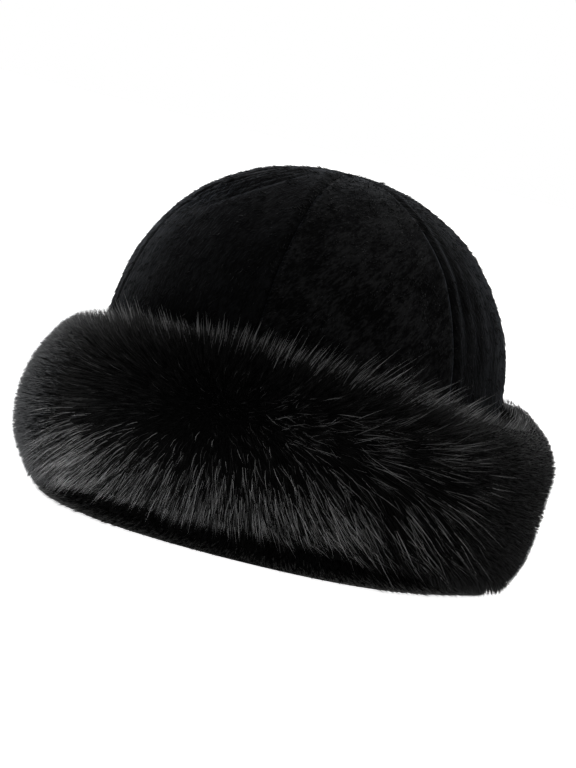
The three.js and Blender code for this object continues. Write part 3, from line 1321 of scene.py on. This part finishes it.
    def pile_bed(self, seam: float, nap: float) -> Bed:
        """Where a gore's pile stands and how it lies.

        Args:
            seam: Azimuth of the gore's first seam.
            nap: Angle in degrees by which the pile lies aside of straight down.

        Returns:
            The bed, whose lay swerves in patches.
        """
        shares = np.linspace(self.pile_edge, 1.0 - self.pile_edge, self.pile_columns)
        start = self.pile_from / self.form.spring_line
        dome = 1.0 + np.linspace(0.0, self.pile_to, self.pile_rows)
        rises = np.concatenate([[start], dome])
        roots = self.surface(seam, shares, rises, self.pile_sunk)
        along, across = unit(np.gradient(roots, axis=0)), unit(np.gradient(roots, axis=1))
        normal = np.cross(across, along)
        seamwards = self.towards_seam.at(shares) - self.towards_seam.at(1.0 - shares)
        swerve = sum(ruffle.at(roots) for ruffle in self.swerve)
        angle = math.radians(nap) + swerve - self.seam_swerve * seamwards[None, :]
        angle = angle[..., None]
        stand = self.stand + self.stand_ruffle.at(roots)[..., None]
        lay = -along * np.cos(angle) + across * np.sin(angle)
        tips = (lay * (1.0 - stand) + normal * stand) * self.pile_length
        lying, standing = self.pile_bend
        bends = (lay * (1.0 - stand) * lying + normal * stand * standing) * self.pile_length
        share, rise = np.meshgrid(shares, rises)
        climb = np.sin(np.radians(90.0) * np.clip(rise - 1.0, 0.0, 1.0))
        depth = self.fold_depth(seam + share * self.gore_angle, climb)
        # fewer hairs in the fold valleys: painted shade in the creases
        valley = np.clip(depth / self.full_valley, 0.0, 1.0)
        groove = self.groove_width.at(np.minimum(share, 1.0 - share))
        cover = (1.0 - self.valley_thinning * valley) * (1.0 - self.groove_thinning * groove)
        return Bed(roots, tips, bends, cover, np.ones(cover.shape), closed_columns=False)


@dataclass
class Brim:
    """The doubled brim in short pile: inner leg, fold on the rest, and outer leg under the trim."""

    form: HatForm
    hair: HairTree
    columns: int = 144
    channel_edge: float = 5.0
    pelt_foot: float = 10.4
    section: tuple = (
        (-5.6, 0.0),
        (-2.0, 0.0),
        (2.0, 0.0),
        (5.4, 0.0),
        (7.2, 0.6),
        (8.6, 1.6),
        (9.6, 3.1),
        (10.2, 5.0),
        (10.8, 12.0),
        (12.0, 43.0),
        (13.0, 71.0),
        (12.9, 73.0),
        (12.5, 74.2),
        (11.4, 75.2),
        (10.2, 74.2),
        (9.8, 71.0),
        (8.8, 43.0),
        (7.4, 12.0),
        (5.6, 6.6),
        (2.4, 5.0),
        (-2.6, 5.0),
        (-3.4, 6.4),
        (-3.4, 28.5),
        (-4.4, 30.0),
        (-6.2, 30.0),
        (-7.2, 28.5),
        (-7.2, 16.0),
        (-7.2, 4.0),
        (-6.7, 1.3),
    )
    fold_section: tuple = ((5.8, 0.5), (8.4, 1.6), (10.0, 4.6), (10.7, 11.0), (11.0, 17.0))
    fold_rows: int = 10
    fold_columns: int = 180
    # the fold's lowest rows grow lighter hairs: painted light thrown up from the floor below
    edge_range: Step = Step(0.05, 0.5)
    # how far the fold's hairs reach out and hang, in millimetres, at its lowest and highest row
    pile_out: tuple = (4.2, 3.0)
    pile_down: tuple = (-0.1, 3.5)
    pile_bend_out: float = 2.4
    pile_bend_down: float = 0.6
    cloth: PileFinish = PileFinish(
        "brim_pile_cloth", (0.001, 0.001, 0.001), (0.004, 0.004, 0.004), 0.02
    )
    pile: StrandFinish = StrandFinish("brim_pile_hair", (0.003, 0.003, 0.003), 0.6, 0.1)
    # lighter than the brim's own pile: painted light from below
    edge_pile: StrandFinish = StrandFinish("brim_edge_painted_light", (0.13, 0.13, 0.125), 0.5, 0.4)
    pile_coat: Coat = Coat(9000, 80, 0.26, 0.6, 1.2, 0.14, 3.0, 0.35, 0.5, 1)
    edge_coat: Coat = Coat(8000, 81, 0.10, 0.9, 1.4, 0.08, 2.4, 0.3, 0.3, 1)

    def build(self) -> None:
        """Builds and dresses the brim and the pile of its fold, whose lighter edge hairs are painted
        light from below.
        """
        dress(self.ring(), self.cloth.make(), Slot.BRIM, "brim")
        bed = self.pile_bed()
        places = np.linspace(0.0, 1.0, self.fold_rows)[:, None]
        edge_cover = np.broadcast_to(self.edge_range.below(places), bed.cover.shape)
        for name, finish, coat, place in (
            ("brim_pile", self.pile, self.pile_coat, bed),
            ("brim_edge_pile", self.edge_pile, self.edge_coat, replace(bed, cover=edge_cover)),
        ):
            material = finish.make()
            dress(self.hair.grow(name, place, coat, material), material, Slot.BRIM)

    def height(self, out: np.ndarray, up: np.ndarray, azimuth: np.ndarray) -> np.ndarray:
        """Height in metres of a section point: the outer leg stretches with its trim.

        Args:
            out: How far out the points lie, in millimetres.
            up: Their heights at the side, in millimetres.
            azimuth: Their azimuths, in degrees.

        Returns:
            Their heights.
        """
        foot = self.form.trim_height(np.array(self.pelt_foot), azimuth) / MM / self.pelt_foot
        stretched = up * (1.0 + (foot - 1.0) * up / self.pelt_foot)
        high = self.form.trim_height(up, azimuth) / MM
        outer = np.where(up >= self.pelt_foot, high, stretched)
        return np.where(out < self.channel_edge, up, outer) * MM

    def ring(self) -> bpy.types.Object:
        """Builds the brim as one closed ring.

        Returns:
            The brim.
        """
        section = np.array(self.section)
        azimuth = round_the_hat(self.columns)
        out, turn = np.meshgrid(section[:, 0], azimuth)
        up = np.meshgrid(section[:, 1], azimuth)[0]
        points = self.form.ring_point(turn, out * MM, self.height(out, up, turn))
        steps = np.hypot(*np.diff(section, axis=0).T)
        around = np.radians(turn) * self.form.half_depth
        along = np.broadcast_to(np.concatenate([[0.0], np.cumsum(steps)]) * MM, around.shape)
        faces = grid_faces(*points.shape[:2], True, True)
        return new_piece("brim_cloth", points, faces, np.stack([around, along], axis=-1))

    def pile_bed(self) -> Bed:
        """Where the short pile of the fold stands: outwards and down, no lower than the rest.

        Returns:
            The bed.
        """
        places = np.linspace(0.0, 1.0, self.fold_rows)
        section = table_curve(self.fold_section, places)
        azimuth = round_the_hat(self.fold_columns)
        turn, out = np.meshgrid(azimuth, section[:, 0])
        up = np.broadcast_to(section[:, 1][:, None], out.shape)
        roots = self.form.ring_point(turn, out * MM, up * MM)
        outwards = self.form.direction(turn)
        place = np.broadcast_to(places[:, None], turn.shape)[..., None]
        down = np.array([0.0, 0.0, -1.0])
        reach = np.interp(place, (0.0, 1.0), self.pile_out)
        hang = np.interp(place, (0.0, 1.0), self.pile_down)
        tips = (outwards * reach + down * hang) * MM
        bends = (outwards * self.pile_bend_out + down * place * self.pile_bend_down) * MM
        return Bed(roots, tips, bends, np.ones(turn.shape), np.ones(turn.shape))


@dataclass(frozen=True)
class LongCoat:
    """A coat of the long fur: its piece, its finish, the part of the trim it covers, its hairs."""

    name: str
    finish: StrandFinish
    growth: Growth
    coat: Coat


@dataclass(frozen=True)
class Plush:
    """The short, even fur at one end of the hat, whose side is -1 for left and 1 for right.

    At its low edge it is drawn in and hangs lower, both in millimetres.
    """

    name: str
    side: float
    finish: StrandFinish
    coat: Coat
    drawn_in: float
    hang: float


@dataclass
class FurTrim:
    """The long fur: a bed of dense wool on its pelt, and coats of long hair through it."""

    form: HatForm
    hair: HairTree
    columns: int = 180
    wool_rows: int = 22
    pelt_rows: int = 8
    plush_rows: int = 26
    hair_rows: int = 30
    wool_depth: float = 5.5
    plush_depth: float = 2.6
    plush_sunk: float = 0.4
    plush_reach: float = 1.0
    plush_hang: float = 0.9
    plush_lean: float = 0.15
    plush_bend: float = 0.6
    plush_range: tuple = (0.03, 0.97)
    plush_hem: Step = Step(0.03, 0.16)
    plush_ruffle: Ruffle = Ruffle(0.016, 0.9, 8.1)
    edge_share: float = 0.35
    least_out: float = 6.6
    tuck_depth: float = 3.0
    tuck_place: Bell = Bell(-74.0, 34.0)
    tuck_range: Step = Step(0.03, 0.34)
    lumps: Ruffle = Ruffle(0.012, 0.0012)
    lumps_lost: float = 0.7
    # the sleek ends of the hat, in degrees from the fur's middle, and nearer it on the left
    middle: float = 2.0
    ends: tuple = (Step(50.0, 68.0), Step(112.0, 136.0))
    left_nearer: float = 10.0
    left_range: tuple = (Step(0.0, 30.0), Step(-110.0, -80.0))
    # how the tips lie and how unevenly, in millimetres
    sway: Ruffle = Ruffle(0.045, 3.0, 5.5)
    droop: Ruffle = Ruffle(0.030, 2.5, 2.2)
    swept: tuple = (Bell(42.0, 28.0), Bell(30.0, 18.0))
    swept_down: float = 6.0
    raised: tuple = (Bell(36.0, 22.0), Step(8.0, 26.0))
    raised_up: float = 5.5
    bend_out: float = 0.80
    bend_up: float = 0.20
    ruffled: Bell = Bell(36.0, 26.0)
    ruffled_unrest: float = 0.8
    sleek_calm: float = 0.6
    # places round the hat, in degrees, with the tips' heights at the side, in millimetres
    # the first place is the fur's dark middle, where the light coats thin out: painted shade
    shaded_middle: tuple = (Bell(-14.0, 19.0), Step(24.0, 40.0))
    low_left: Bell = Bell(-33.0, 19.0)
    low_front: Bell = Bell(16.0, 16.0)
    low_right: Step = Step(22.0, 46.0)
    up_left: tuple = (Step(8.0, 30.0), Step(36.0, 58.0))
    gappy: tuple = (Bell(42.0, 30.0), Step(8.0, 24.0))
    gap_ruffle: Ruffle = Ruffle(0.012, 1.0, 3.7)
    gap_edge: Step = Step(-0.04, 0.2)
    corner: tuple = (Step(29.0, 44.0), Step(14.0, 36.0))
    far_right: Step = Step(62.0, 84.0)
    behind: Step = Step(104.0, 124.0)
    flank: Step = Step(4.0, 18.0)
    dense_top: Step = Step(70.0, 80.0)
    front_top: Step = Step(68.0, 76.0)
    flank_top: Step = Step(66.0, 76.0)
    hem_top: Step = Step(10.0, 28.0)
    bright_top: Step = Step(12.0, 44.0)
    crest_foot: Step = Step(83.0, 86.0)
    # what shares of a coat are missing there
    sleek_thinning: float = 0.92
    shaded_middle_thinning: float = 0.9
    gap_thinning: float = 0.9
    corner_thinning: float = 0.65
    behind_thinning: float = 0.45
    face: tuple = (
        (15.0, 4.5),
        (20.5, 7.5),
        (25.2, 14.5),
        (28.4, 24.5),
        (29.7, 36.0),
        (29.0, 47.5),
        (26.6, 59.0),
        (22.8, 69.5),
        (17.8, 78.5),
        (11.5, 84.5),
        (6.0, 82.5),
    )
    pelt: tuple = (
        (6.4, 78.6),
        (10.6, 76.8),
        (13.2, 75.2),
        (13.5, 71.0),
        (12.5, 43.0),
        (11.4, 10.4),
    )
    lay: tuple = (
        # root out, root up, tip out, tip up
        (11.4, 10.4, 13.0, 7.0),
        (11.6, 16.0, 16.5, 4.0),
        (11.8, 23.0, 22.5, 8.0),
        (12.0, 30.0, 26.6, 16.0),
        (12.3, 36.5, 29.2, 26.5),
        (12.6, 43.0, 30.4, 38.0),
        (12.9, 50.0, 30.4, 49.0),
        (13.1, 57.0, 29.0, 59.0),
        (13.4, 64.0, 25.6, 69.5),
        (13.4, 70.5, 19.5, 79.5),
        (12.6, 75.0, 13.0, 85.5),
        (6.6, 78.5, 6.0, 86.5),
    )
    lean: tuple = (
        # azimuth, how far a tip lies round the hat from its root
        (-180.0, 0.0),
        (-130.0, -12.0),
        (-90.0, -14.0),
        (-60.0, -13.0),
        (-40.0, -10.0),
        (-20.0, -4.5),
        (-8.0, -1.5),
        (0.0, 0.8),
        (12.0, 4.0),
        (30.0, 9.0),
        (60.0, 12.0),
        (90.0, 10.0),
        (130.0, 12.0),
        (180.0, 0.0),
    )
    wool: UnderfurFinish = UnderfurFinish("fur_wool", (0.001, 0.001, 0.001), (0.004, 0.004, 0.004))
    # the inner and coat hairs are the fur's own near-black; the guard, flank, hem, bright and crest
    # hairs are lighter coats that carry painted light
    long_coats: tuple = (
        LongCoat(
            "fur_inner_coat",
            StrandFinish("fur_inner_hair", (0.002, 0.002, 0.002), 0.55, 0.1),
            Growth.EVERYWHERE,
            Coat(6500, 101, 0.32, 0.60, 0.88, 0.12, 7.0, 0.30, 1.0),
        ),
        LongCoat(
            "fur_coat_low",
            StrandFinish("fur_coat_hair", (0.002, 0.002, 0.002), 0.42, 0.1),
            Growth.EVERYWHERE,
            Coat(16000, 102, 0.18, 0.76, 1.0, 0.08, 7.0, 0.35, 1.0),
        ),
        LongCoat(
            "fur_coat_high",
            StrandFinish("fur_light_hair", (0.0037, 0.0037, 0.0037), 0.42, 0.13),
            Growth.EVERYWHERE,
            Coat(18500, 103, 0.16, 0.78, 1.04, 0.09, 4.6, 0.45, 1.3, 2, 0.22),
        ),
        # guard hairs lighter than the fur's own black: painted highlights
        LongCoat(
            "fur_guard_hairs",
            StrandFinish("fur_guard_hair", (0.09, 0.09, 0.09), 0.3, 1.0),
            Growth.FRONT,
            Coat(3100, 104, 0.10, 0.74, 1.06, 0.12, 3.6, 0.35, 1.8, 3, 0.4),
        ),
        # flank hairs lighter still: painted highlights on the right front
        LongCoat(
            "fur_flank_hairs",
            StrandFinish("fur_flank_hair", (0.36, 0.36, 0.36), 0.3, 1.0),
            Growth.FLANK,
            Coat(850, 108, 0.10, 0.62, 1.04, 0.17, 3.2, 0.35, 2.4, 3, 0.5),
        ),
        # hem hairs: painted light from below along the fur's low edge
        LongCoat(
            "fur_hem_hairs",
            StrandFinish("fur_hem_hair", (0.22, 0.22, 0.22), 0.32, 1.0),
            Growth.HEM,
            Coat(3025, 105, 0.09, 0.82, 1.12, 0.09, 3.6, 0.35, 1.2, 3, 0.25),
        ),
        # near-white hairs: painted highlights of the light from below, most at the low left and
        # front
        LongCoat(
            "fur_bright_hairs",
            StrandFinish("fur_bright_hair", (0.92, 0.92, 0.92), 0.28, 1.0),
            Growth.BRIGHT,
            Coat(1570, 109, 0.08, 0.86, 1.18, 0.12, 3.6, 0.40, 1.6, 3, 0.3),
        ),
        # crest hairs: painted rim light along the fur's top edge
        LongCoat(
            "fur_crest_hairs",
            StrandFinish("fur_crest_painted_rim_light", (0.36, 0.36, 0.36), 0.32, 1.0),
            Growth.CREST,
            Coat(1100, 106, 0.095, 0.85, 1.5, 0.12, 3.0, 0.50, 0.9, 3, 0.4),
        ),
    )
    plushes: tuple = (
        # the left end's hairs are a lighter, bluer copy of the right's: painted sheen of the light
        # from the left
        Plush(
            "fur_plush_left",
            -1.0,
            StrandFinish("fur_left_plush_painted_sheen", (0.052, 0.0544, 0.0585), 0.42, 0.5),
            Coat(11500, 107, 0.22, 0.8, 1.1, 0.12, 3.0, 0.2, 0.3, 1),
            drawn_in=1.4,
            hang=4.0,
        ),
        Plush(
            "fur_plush_right",
            1.0,
            StrandFinish("fur_right_plush_hair", (0.014, 0.0142, 0.0145), 0.5, 0.2),
            Coat(11500, 108, 0.22, 0.8, 1.1, 0.12, 3.0, 0.2, 0.3, 1),
            drawn_in=0.0,
            hang=3.4,
        ),
    )

    def build(self) -> None:
        """Builds and dresses the wool and the coats of hair."""
        dress(self.wool_ring(), self.wool.make(), Slot.FUR, "fur_trim")
        for part in self.long_coats + self.plushes:
            material = part.finish.make()
            long = isinstance(part, LongCoat)
            bed = self.hair_bed(part.growth) if long else self.plush_bed(part)
            dress(self.hair.grow(part.name, bed, part.coat, material), material, Slot.FUR)

    def sleek(self, turn: np.ndarray) -> np.ndarray:
        """1 at the hat's two ends, where the fur is short and even, and 0 at its front and back.

        Args:
            turn: Azimuths, in degrees.

        Returns:
            The share at each.
        """
        side = bearing(turn, 0.0)
        front, back = self.left_range
        nearer = self.left_nearer * front.above(-side) * back.above(side)
        aside = np.abs(bearing(turn, self.middle)) + nearer
        start, end = self.ends
        return start.above(aside) * end.below(aside)

    def drawn_form(
        self, places: np.ndarray, turn: np.ndarray, depth: np.ndarray
    ) -> tuple[np.ndarray, np.ndarray]:
        """The fur's outer form, drawn in by a depth that is less at its two edges.

        Args:
            places: Shares of the section's length, one for each row.
            turn: Azimuths, one for each column.
            depth: How far it is drawn in, in millimetres, one for each column.

        Returns:
            How far out and up its points lie, in millimetres.
        """
        face = table_curve(self.face, places)
        heading = np.gradient(face, axis=0)
        heading /= np.linalg.norm(heading, axis=1, keepdims=True)
        share = self.edge_share + (1.0 - self.edge_share) * np.sin(np.pi * places) ** 0.5
        drawn = share[:, None] * depth[None, :]
        up = face[:, 1:] + heading[:, :1] * drawn
        tuck = self.tuck_range.below(places)[:, None] * self.tuck_place.around(turn)[None, :]
        out = face[:, :1] - heading[:, 1:] * drawn - self.tuck_depth * tuck
        return np.maximum(out, self.least_out) + self.form.swell(turn[None, :], up), up

    def wool_ring(self) -> bpy.types.Object:
        """Builds the wool: the fur's form drawn in, lumpy, and closed on the pelt.

        Returns:
            The wool.
        """
        azimuth = round_the_hat(self.columns)
        turn = azimuth[None, :]
        sleek = self.sleek(azimuth)
        depth = self.wool_depth + (self.plush_depth - self.wool_depth) * sleek
        out, up = self.drawn_form(np.linspace(0.0, 1.0, self.wool_rows), azimuth, depth)
        skin = self.form.trim_point(turn, out, up)
        lumps = self.lumps.at(skin) * (1.0 - self.lumps_lost * sleek)[None, :]
        # the edges stay even, so that they meet the pelt
        lumps[:2] = lumps[-2:] = 0.0
        skin = skin + self.form.direction(azimuth)[None, :] * lumps[..., None]
        pelt = table_curve(self.pelt, np.linspace(0.0, 1.0, self.pelt_rows))
        backing = self.form.trim_point(turn, pelt[:, :1], pelt[:, 1:])
        points = np.concatenate([skin, backing])
        return new_piece("fur_wool", points, grid_faces(*points.shape[:2], True, True))

    def leaned(self, turn: np.ndarray, way: np.ndarray) -> np.ndarray:
        """Azimuths moved round the hat by a way in millimetres."""
        return turn + np.degrees(way * MM / self.form.half_depth)

    def plush_bed(self, plush: Plush) -> Bed:
        """Where the short, even fur of an end stands on the wool: outwards and a little down.

        Args:
            plush: The end's fur.

        Returns:
            The bed.
        """
        places = np.linspace(*self.plush_range, self.plush_rows)
        azimuth = round_the_hat(self.columns)
        turn = azimuth[None, :]
        side = bearing(azimuth, 0.0)
        sunk = np.full(azimuth.shape, self.plush_depth + self.plush_sunk)
        roots = self.form.trim_point(turn, *self.drawn_form(places, azimuth, sunk))
        out, up = self.drawn_form(places, azimuth, np.full(azimuth.shape, -self.plush_reach))
        way = np.interp(side, *np.array(self.lean).T) * self.plush_lean
        low = self.plush_hem.below(places)[:, None]
        out = out - plush.drawn_in * low
        hang = self.plush_hang + plush.hang * low
        tip_up = up - hang + self.plush_ruffle.at(roots)
        tips = self.form.trim_point(self.leaned(turn, way), out, tip_up, turn)
        bends = self.form.trim_point(turn, out, up) - roots
        even = np.ones(roots.shape[:2])
        cover = even * self.sleek(azimuth) * (plush.side * side > 0.0)
        return Bed(roots, tips - roots, bends * self.plush_bend, cover, even)

    def hair_bed(self, growth: Growth) -> Bed:
        """Where the long hairs stand: their tips fan out from the pelt to the fur's outer form.

        Args:
            growth: The part of the trim that the coat covers.

        Returns:
            The bed.
        """
        rows = table_curve(self.lay, np.linspace(0.0, 1.0, self.hair_rows))
        shape = (self.hair_rows, self.columns)
        turn = np.broadcast_to(round_the_hat(self.columns), shape)
        root_out, root_up, tip_out, tip_up = (
            np.broadcast_to(row[:, None], shape) for row in rows.T
        )
        roots = self.form.trim_point(turn, root_out, root_up)
        way = np.interp(bearing(turn, 0.0), *np.array(self.lean).T) + self.sway.at(roots)
        tip_out = tip_out + self.form.swell(turn, tip_up)
        swept = self.swept[0].around(turn) * self.swept[1].at(tip_up)
        raised = self.raised[0].around(turn) * self.raised[1].below(tip_up)
        hang = self.droop.at(roots) - self.swept_down * swept + self.raised_up * raised
        tips = self.form.trim_point(self.leaned(turn, way), tip_out, tip_up + hang, turn)
        bend_out = root_out + (tip_out - root_out) * self.bend_out
        bend_up = root_up + (tip_up - root_up) * self.bend_up
        bends = self.form.trim_point(turn, bend_out, bend_up)
        ruffled = self.ruffled_unrest * self.ruffled.around(turn)
        unrest = 1.0 + ruffled - self.sleek_calm * self.sleek(turn)
        cover = self.cover(growth, turn, tip_up, roots)
        return Bed(roots, tips - roots, bends - roots, cover, unrest)

    def cover(
        self, growth: Growth, turn: np.ndarray, height: np.ndarray, roots: np.ndarray
    ) -> np.ndarray:
        """How thickly a coat grows. For the lighter coats this places their painted light; where it
        thins them, as in the shaded middle, the fur reads darker as painted shade.
            height: Heights of the tips at the side, in millimetres.
            roots: The roots.

        Returns:
            The cover, for each root.
        """
        side = bearing(turn, 0.0)
        sleek = self.sleek(turn)
        behind = self.behind.above(np.abs(bearing(turn, self.middle)))
        ahead = 1.0 - behind
        # the fur's dark middle, where the light coats thin out: painted shade
        shaded_middle = self.shaded_middle[0].around(turn) * self.shaded_middle[1].above(height)
        low_left, low_front = self.low_left.around(turn), self.low_front.around(turn)
        low_right = self.low_right.above(side) * ahead
        up_left = self.up_left[0].above(-side) * self.up_left[1].above(height) * ahead
        gappy = self.gappy[0].around(turn) * self.gappy[1].above(height)
        gappy = gappy * self.gap_edge.above(self.gap_ruffle.at(roots))
        corner = self.corner[0].above(side) * self.corner[1].below(height) * ahead
        gaps = (1.0 - self.gap_thinning * gappy) * (1.0 - self.corner_thinning * corner)
        far_right = self.far_right.above(side) * ahead
        long = 1.0 - self.sleek_thinning * sleek
        cover = {
            Growth.EVERYWHERE: (1.0 - 0.72 * sleek) * (1.0 + 0.7 * self.dense_top.above(height)),
            Growth.FRONT: long
            * (1.0 - self.shaded_middle_thinning * shaded_middle)
            * (1.0 - 0.8 * self.front_top.above(height))
            * (1.0 - 0.85 * up_left)
            * gaps,
            Growth.FLANK: (1.0 - sleek)
            * self.flank.above(side)
            * self.flank_top.below(height)
            * gaps
            * ahead,
            Growth.HEM: self.hem_top.below(height)
            * long
            * (1.0 - 0.3 * low_left - 0.72 * low_right)
            * gaps,
            Growth.BRIGHT: self.bright_top.below(height)
            * long
            * (0.6 + 1.8 * low_left + low_front)
            * (1.0 - 0.8 * corner),
            Growth.CREST: self.crest_foot.above(height)
            * (1.0 - 0.75 * sleek)
            * (1.0 - 0.5 * low_left)
            * (1.0 - 0.8 * far_right),
        }[growth]
        return cover * (1.0 - self.behind_thinning * behind)


@dataclass
class Studio:
    """Pale floor, soft lights and the camera at the photograph's angle."""

    hat_centre: Vector = field(default_factory=lambda: Vector((0.0, 0.0, 0.09)))
    azimuth: float = 14.0
    elevation: float = 3.0
    roll: float = 13.8
    distance: float = 2.3
    photo_size: tuple = (576, 768)
    centre_pixel: tuple = (304.0, 358.0)
    metres_per_pixel: float = 0.000465
    sensor: float = 36.0
    farthest: float = 100.0
    floor_radius: float = 40.0
    floor_drop: float = 0.0003
    softbox_size: float = 0.5
    softboxes: tuple = (
        # name, how far it hangs to the right, near the camera and up, its power and its colour
        ("left_softbox", (-1.15, 0.72, -0.85), 2.9, (0.92, 0.96, 1.0)),
        ("right_softbox", (1.1, 0.7, 0.5), 3.0, (1.0, 1.0, 1.0)),
    )
    ambience: float = 0.03
    side_sharpness: float = 4.0
    soft_sides: tuple = (
        # how far to the right, near the camera and up the light comes from, and its strength
        (-1.0, 0.0, -1.0, 1.7),
        (-1.0, -1.0, 0.0, 0.6),
        (0.0, -1.0, 0.0, 0.6),
        (1.0, 1.0, 0.0, 0.5),
        (0.0, 1.0, 1.0, 0.22),
        (0.0, -1.0, 1.0, 2.1),
    )

    def build(self) -> None:
        """Builds floor, lights, world and camera."""
        self.floor()
        self.sky()
        for softbox in self.softboxes:
            self.light(*softbox)
        self.camera()

    def floor(self) -> None:
        """Lays the floor as a wide disc."""
        mesh = bpy.data.meshes.new("floor")
        work = bmesh.new()
        place = Matrix.Translation((0.0, 0.0, -self.floor_drop))
        radius = self.floor_radius
        bmesh.ops.create_circle(work, cap_ends=True, segments=96, radius=radius, matrix=place)
        work.to_mesh(mesh)
        work.free()
        mesh.materials.append(FloorFinish().make())
        disc = bpy.data.objects.new("floor", mesh)
        disc.visible_diffuse = disc.visible_glossy = disc.visible_shadow = False
        bpy.context.scene.collection.objects.link(disc)

    def sky(self) -> None:
        """Surrounds the scene with even white that lights the hat from a few soft sides."""
        world = bpy.data.worlds.new("studio")
        world.use_nodes = True
        nodes = NodeMaker(world.node_tree)
        towards = nodes.out(nodes.add("ShaderNodeTexCoord"), "Generated")
        shine = self.ambience
        for right, near, up, strength in self.soft_sides:
            side = self.seen_from_camera(right, near, up).normalized()
            dot = {"operation": "DOT_PRODUCT"}
            facing = nodes.add("ShaderNodeVectorMath", dot, {0: towards, 1: side})
            facing = nodes.maths("MAXIMUM", nodes.out(facing, "Value"), 0.0)
            shine = facing**self.side_sharpness * strength + shine
        seen = nodes.out(nodes.add("ShaderNodeLightPath"), "Is Camera Ray")
        backdrop = world.node_tree.nodes["Background"]
        backdrop.inputs["Color"].default_value = (1.0, 1.0, 1.0, 1.0)
        nodes.feed(backdrop.inputs["Strength"], seen + (1.0 - seen) * shine)
        bpy.context.scene.world = world
        bpy.context.scene.view_settings.view_transform = "Standard"

    def seen_from_camera(self, right: float, near: float, up: float) -> Vector:
        """A place given as the camera sees it, level with the floor, as a vector of the scene.

        Args:
            right: How far it lies to the right.
            near: How far it lies towards the camera.
            up: How far it lies up.

        Returns:
            The vector.
        """
        turn = math.radians(self.azimuth)
        across = Vector((math.cos(turn), math.sin(turn), 0.0))
        forth = Vector((math.sin(turn), -math.cos(turn), 0.0))
        return across * right + forth * near + Vector((0.0, 0.0, up))

    def light(self, name: str, place: tuple, power: float, colour: Colour) -> None:
        """Hangs a square softbox that faces the hat.

        Args:
            name: The light's name.
            place: Where it hangs, as the camera sees it: to the right, near and up.
            power: Its power in watts.
            colour: Its colour.
        """
        lamp = bpy.data.lights.new(name, "AREA")
        lamp.size = self.softbox_size
        lamp.energy = power
        lamp.color = colour
        softbox = bpy.data.objects.new(name, lamp)
        softbox.location = self.seen_from_camera(*place)
        facing = self.hat_centre - softbox.location
        softbox.rotation_euler = facing.to_track_quat("-Z", "Y").to_euler()
        bpy.context.scene.collection.objects.link(softbox)

    def camera(self) -> None:
        """Sets the camera on a long lens, turned so that the hat leans in the frame."""
        lift, roll = math.radians(self.elevation), math.radians(self.roll)
        back = self.seen_from_camera(0.0, math.cos(lift), math.sin(lift))
        level = self.seen_from_camera(1.0, 0.0, 0.0)
        upright = back.cross(level)
        right = level * math.cos(roll) + upright * math.sin(roll)
        up = upright * math.cos(roll) - level * math.sin(roll)
        off_x = (self.centre_pixel[0] - self.photo_size[0] / 2.0) * self.metres_per_pixel
        off_y = (self.photo_size[1] / 2.0 - self.centre_pixel[1]) * self.metres_per_pixel
        lens = bpy.data.cameras.new("camera")
        lens.sensor_width = self.sensor
        lens.lens = self.sensor * self.distance / (self.photo_size[1] * self.metres_per_pixel)
        lens.clip_end = self.farthest
        camera = bpy.data.objects.new("camera", lens)
        camera.matrix_world = Matrix((right, up, back)).transposed().to_4x4()
        camera.location = self.hat_centre + back * self.distance - right * off_x - up * off_y
        bpy.context.scene.collection.objects.link(camera)
        bpy.context.scene.camera = camera


def main() -> None:
    """Builds the hat piece by piece, then the studio round it."""
    logging.basicConfig(level=logging.INFO, format="%(name)s: %(message)s")
    form = HatForm(height=CAD_BOX[1].z)
    hair = HairTree()
    Crown(form, hair).build()
    Brim(form, hair).build()
    FurTrim(form, hair).build()
    Studio().build()


if __name__ == "__main__":
    main()
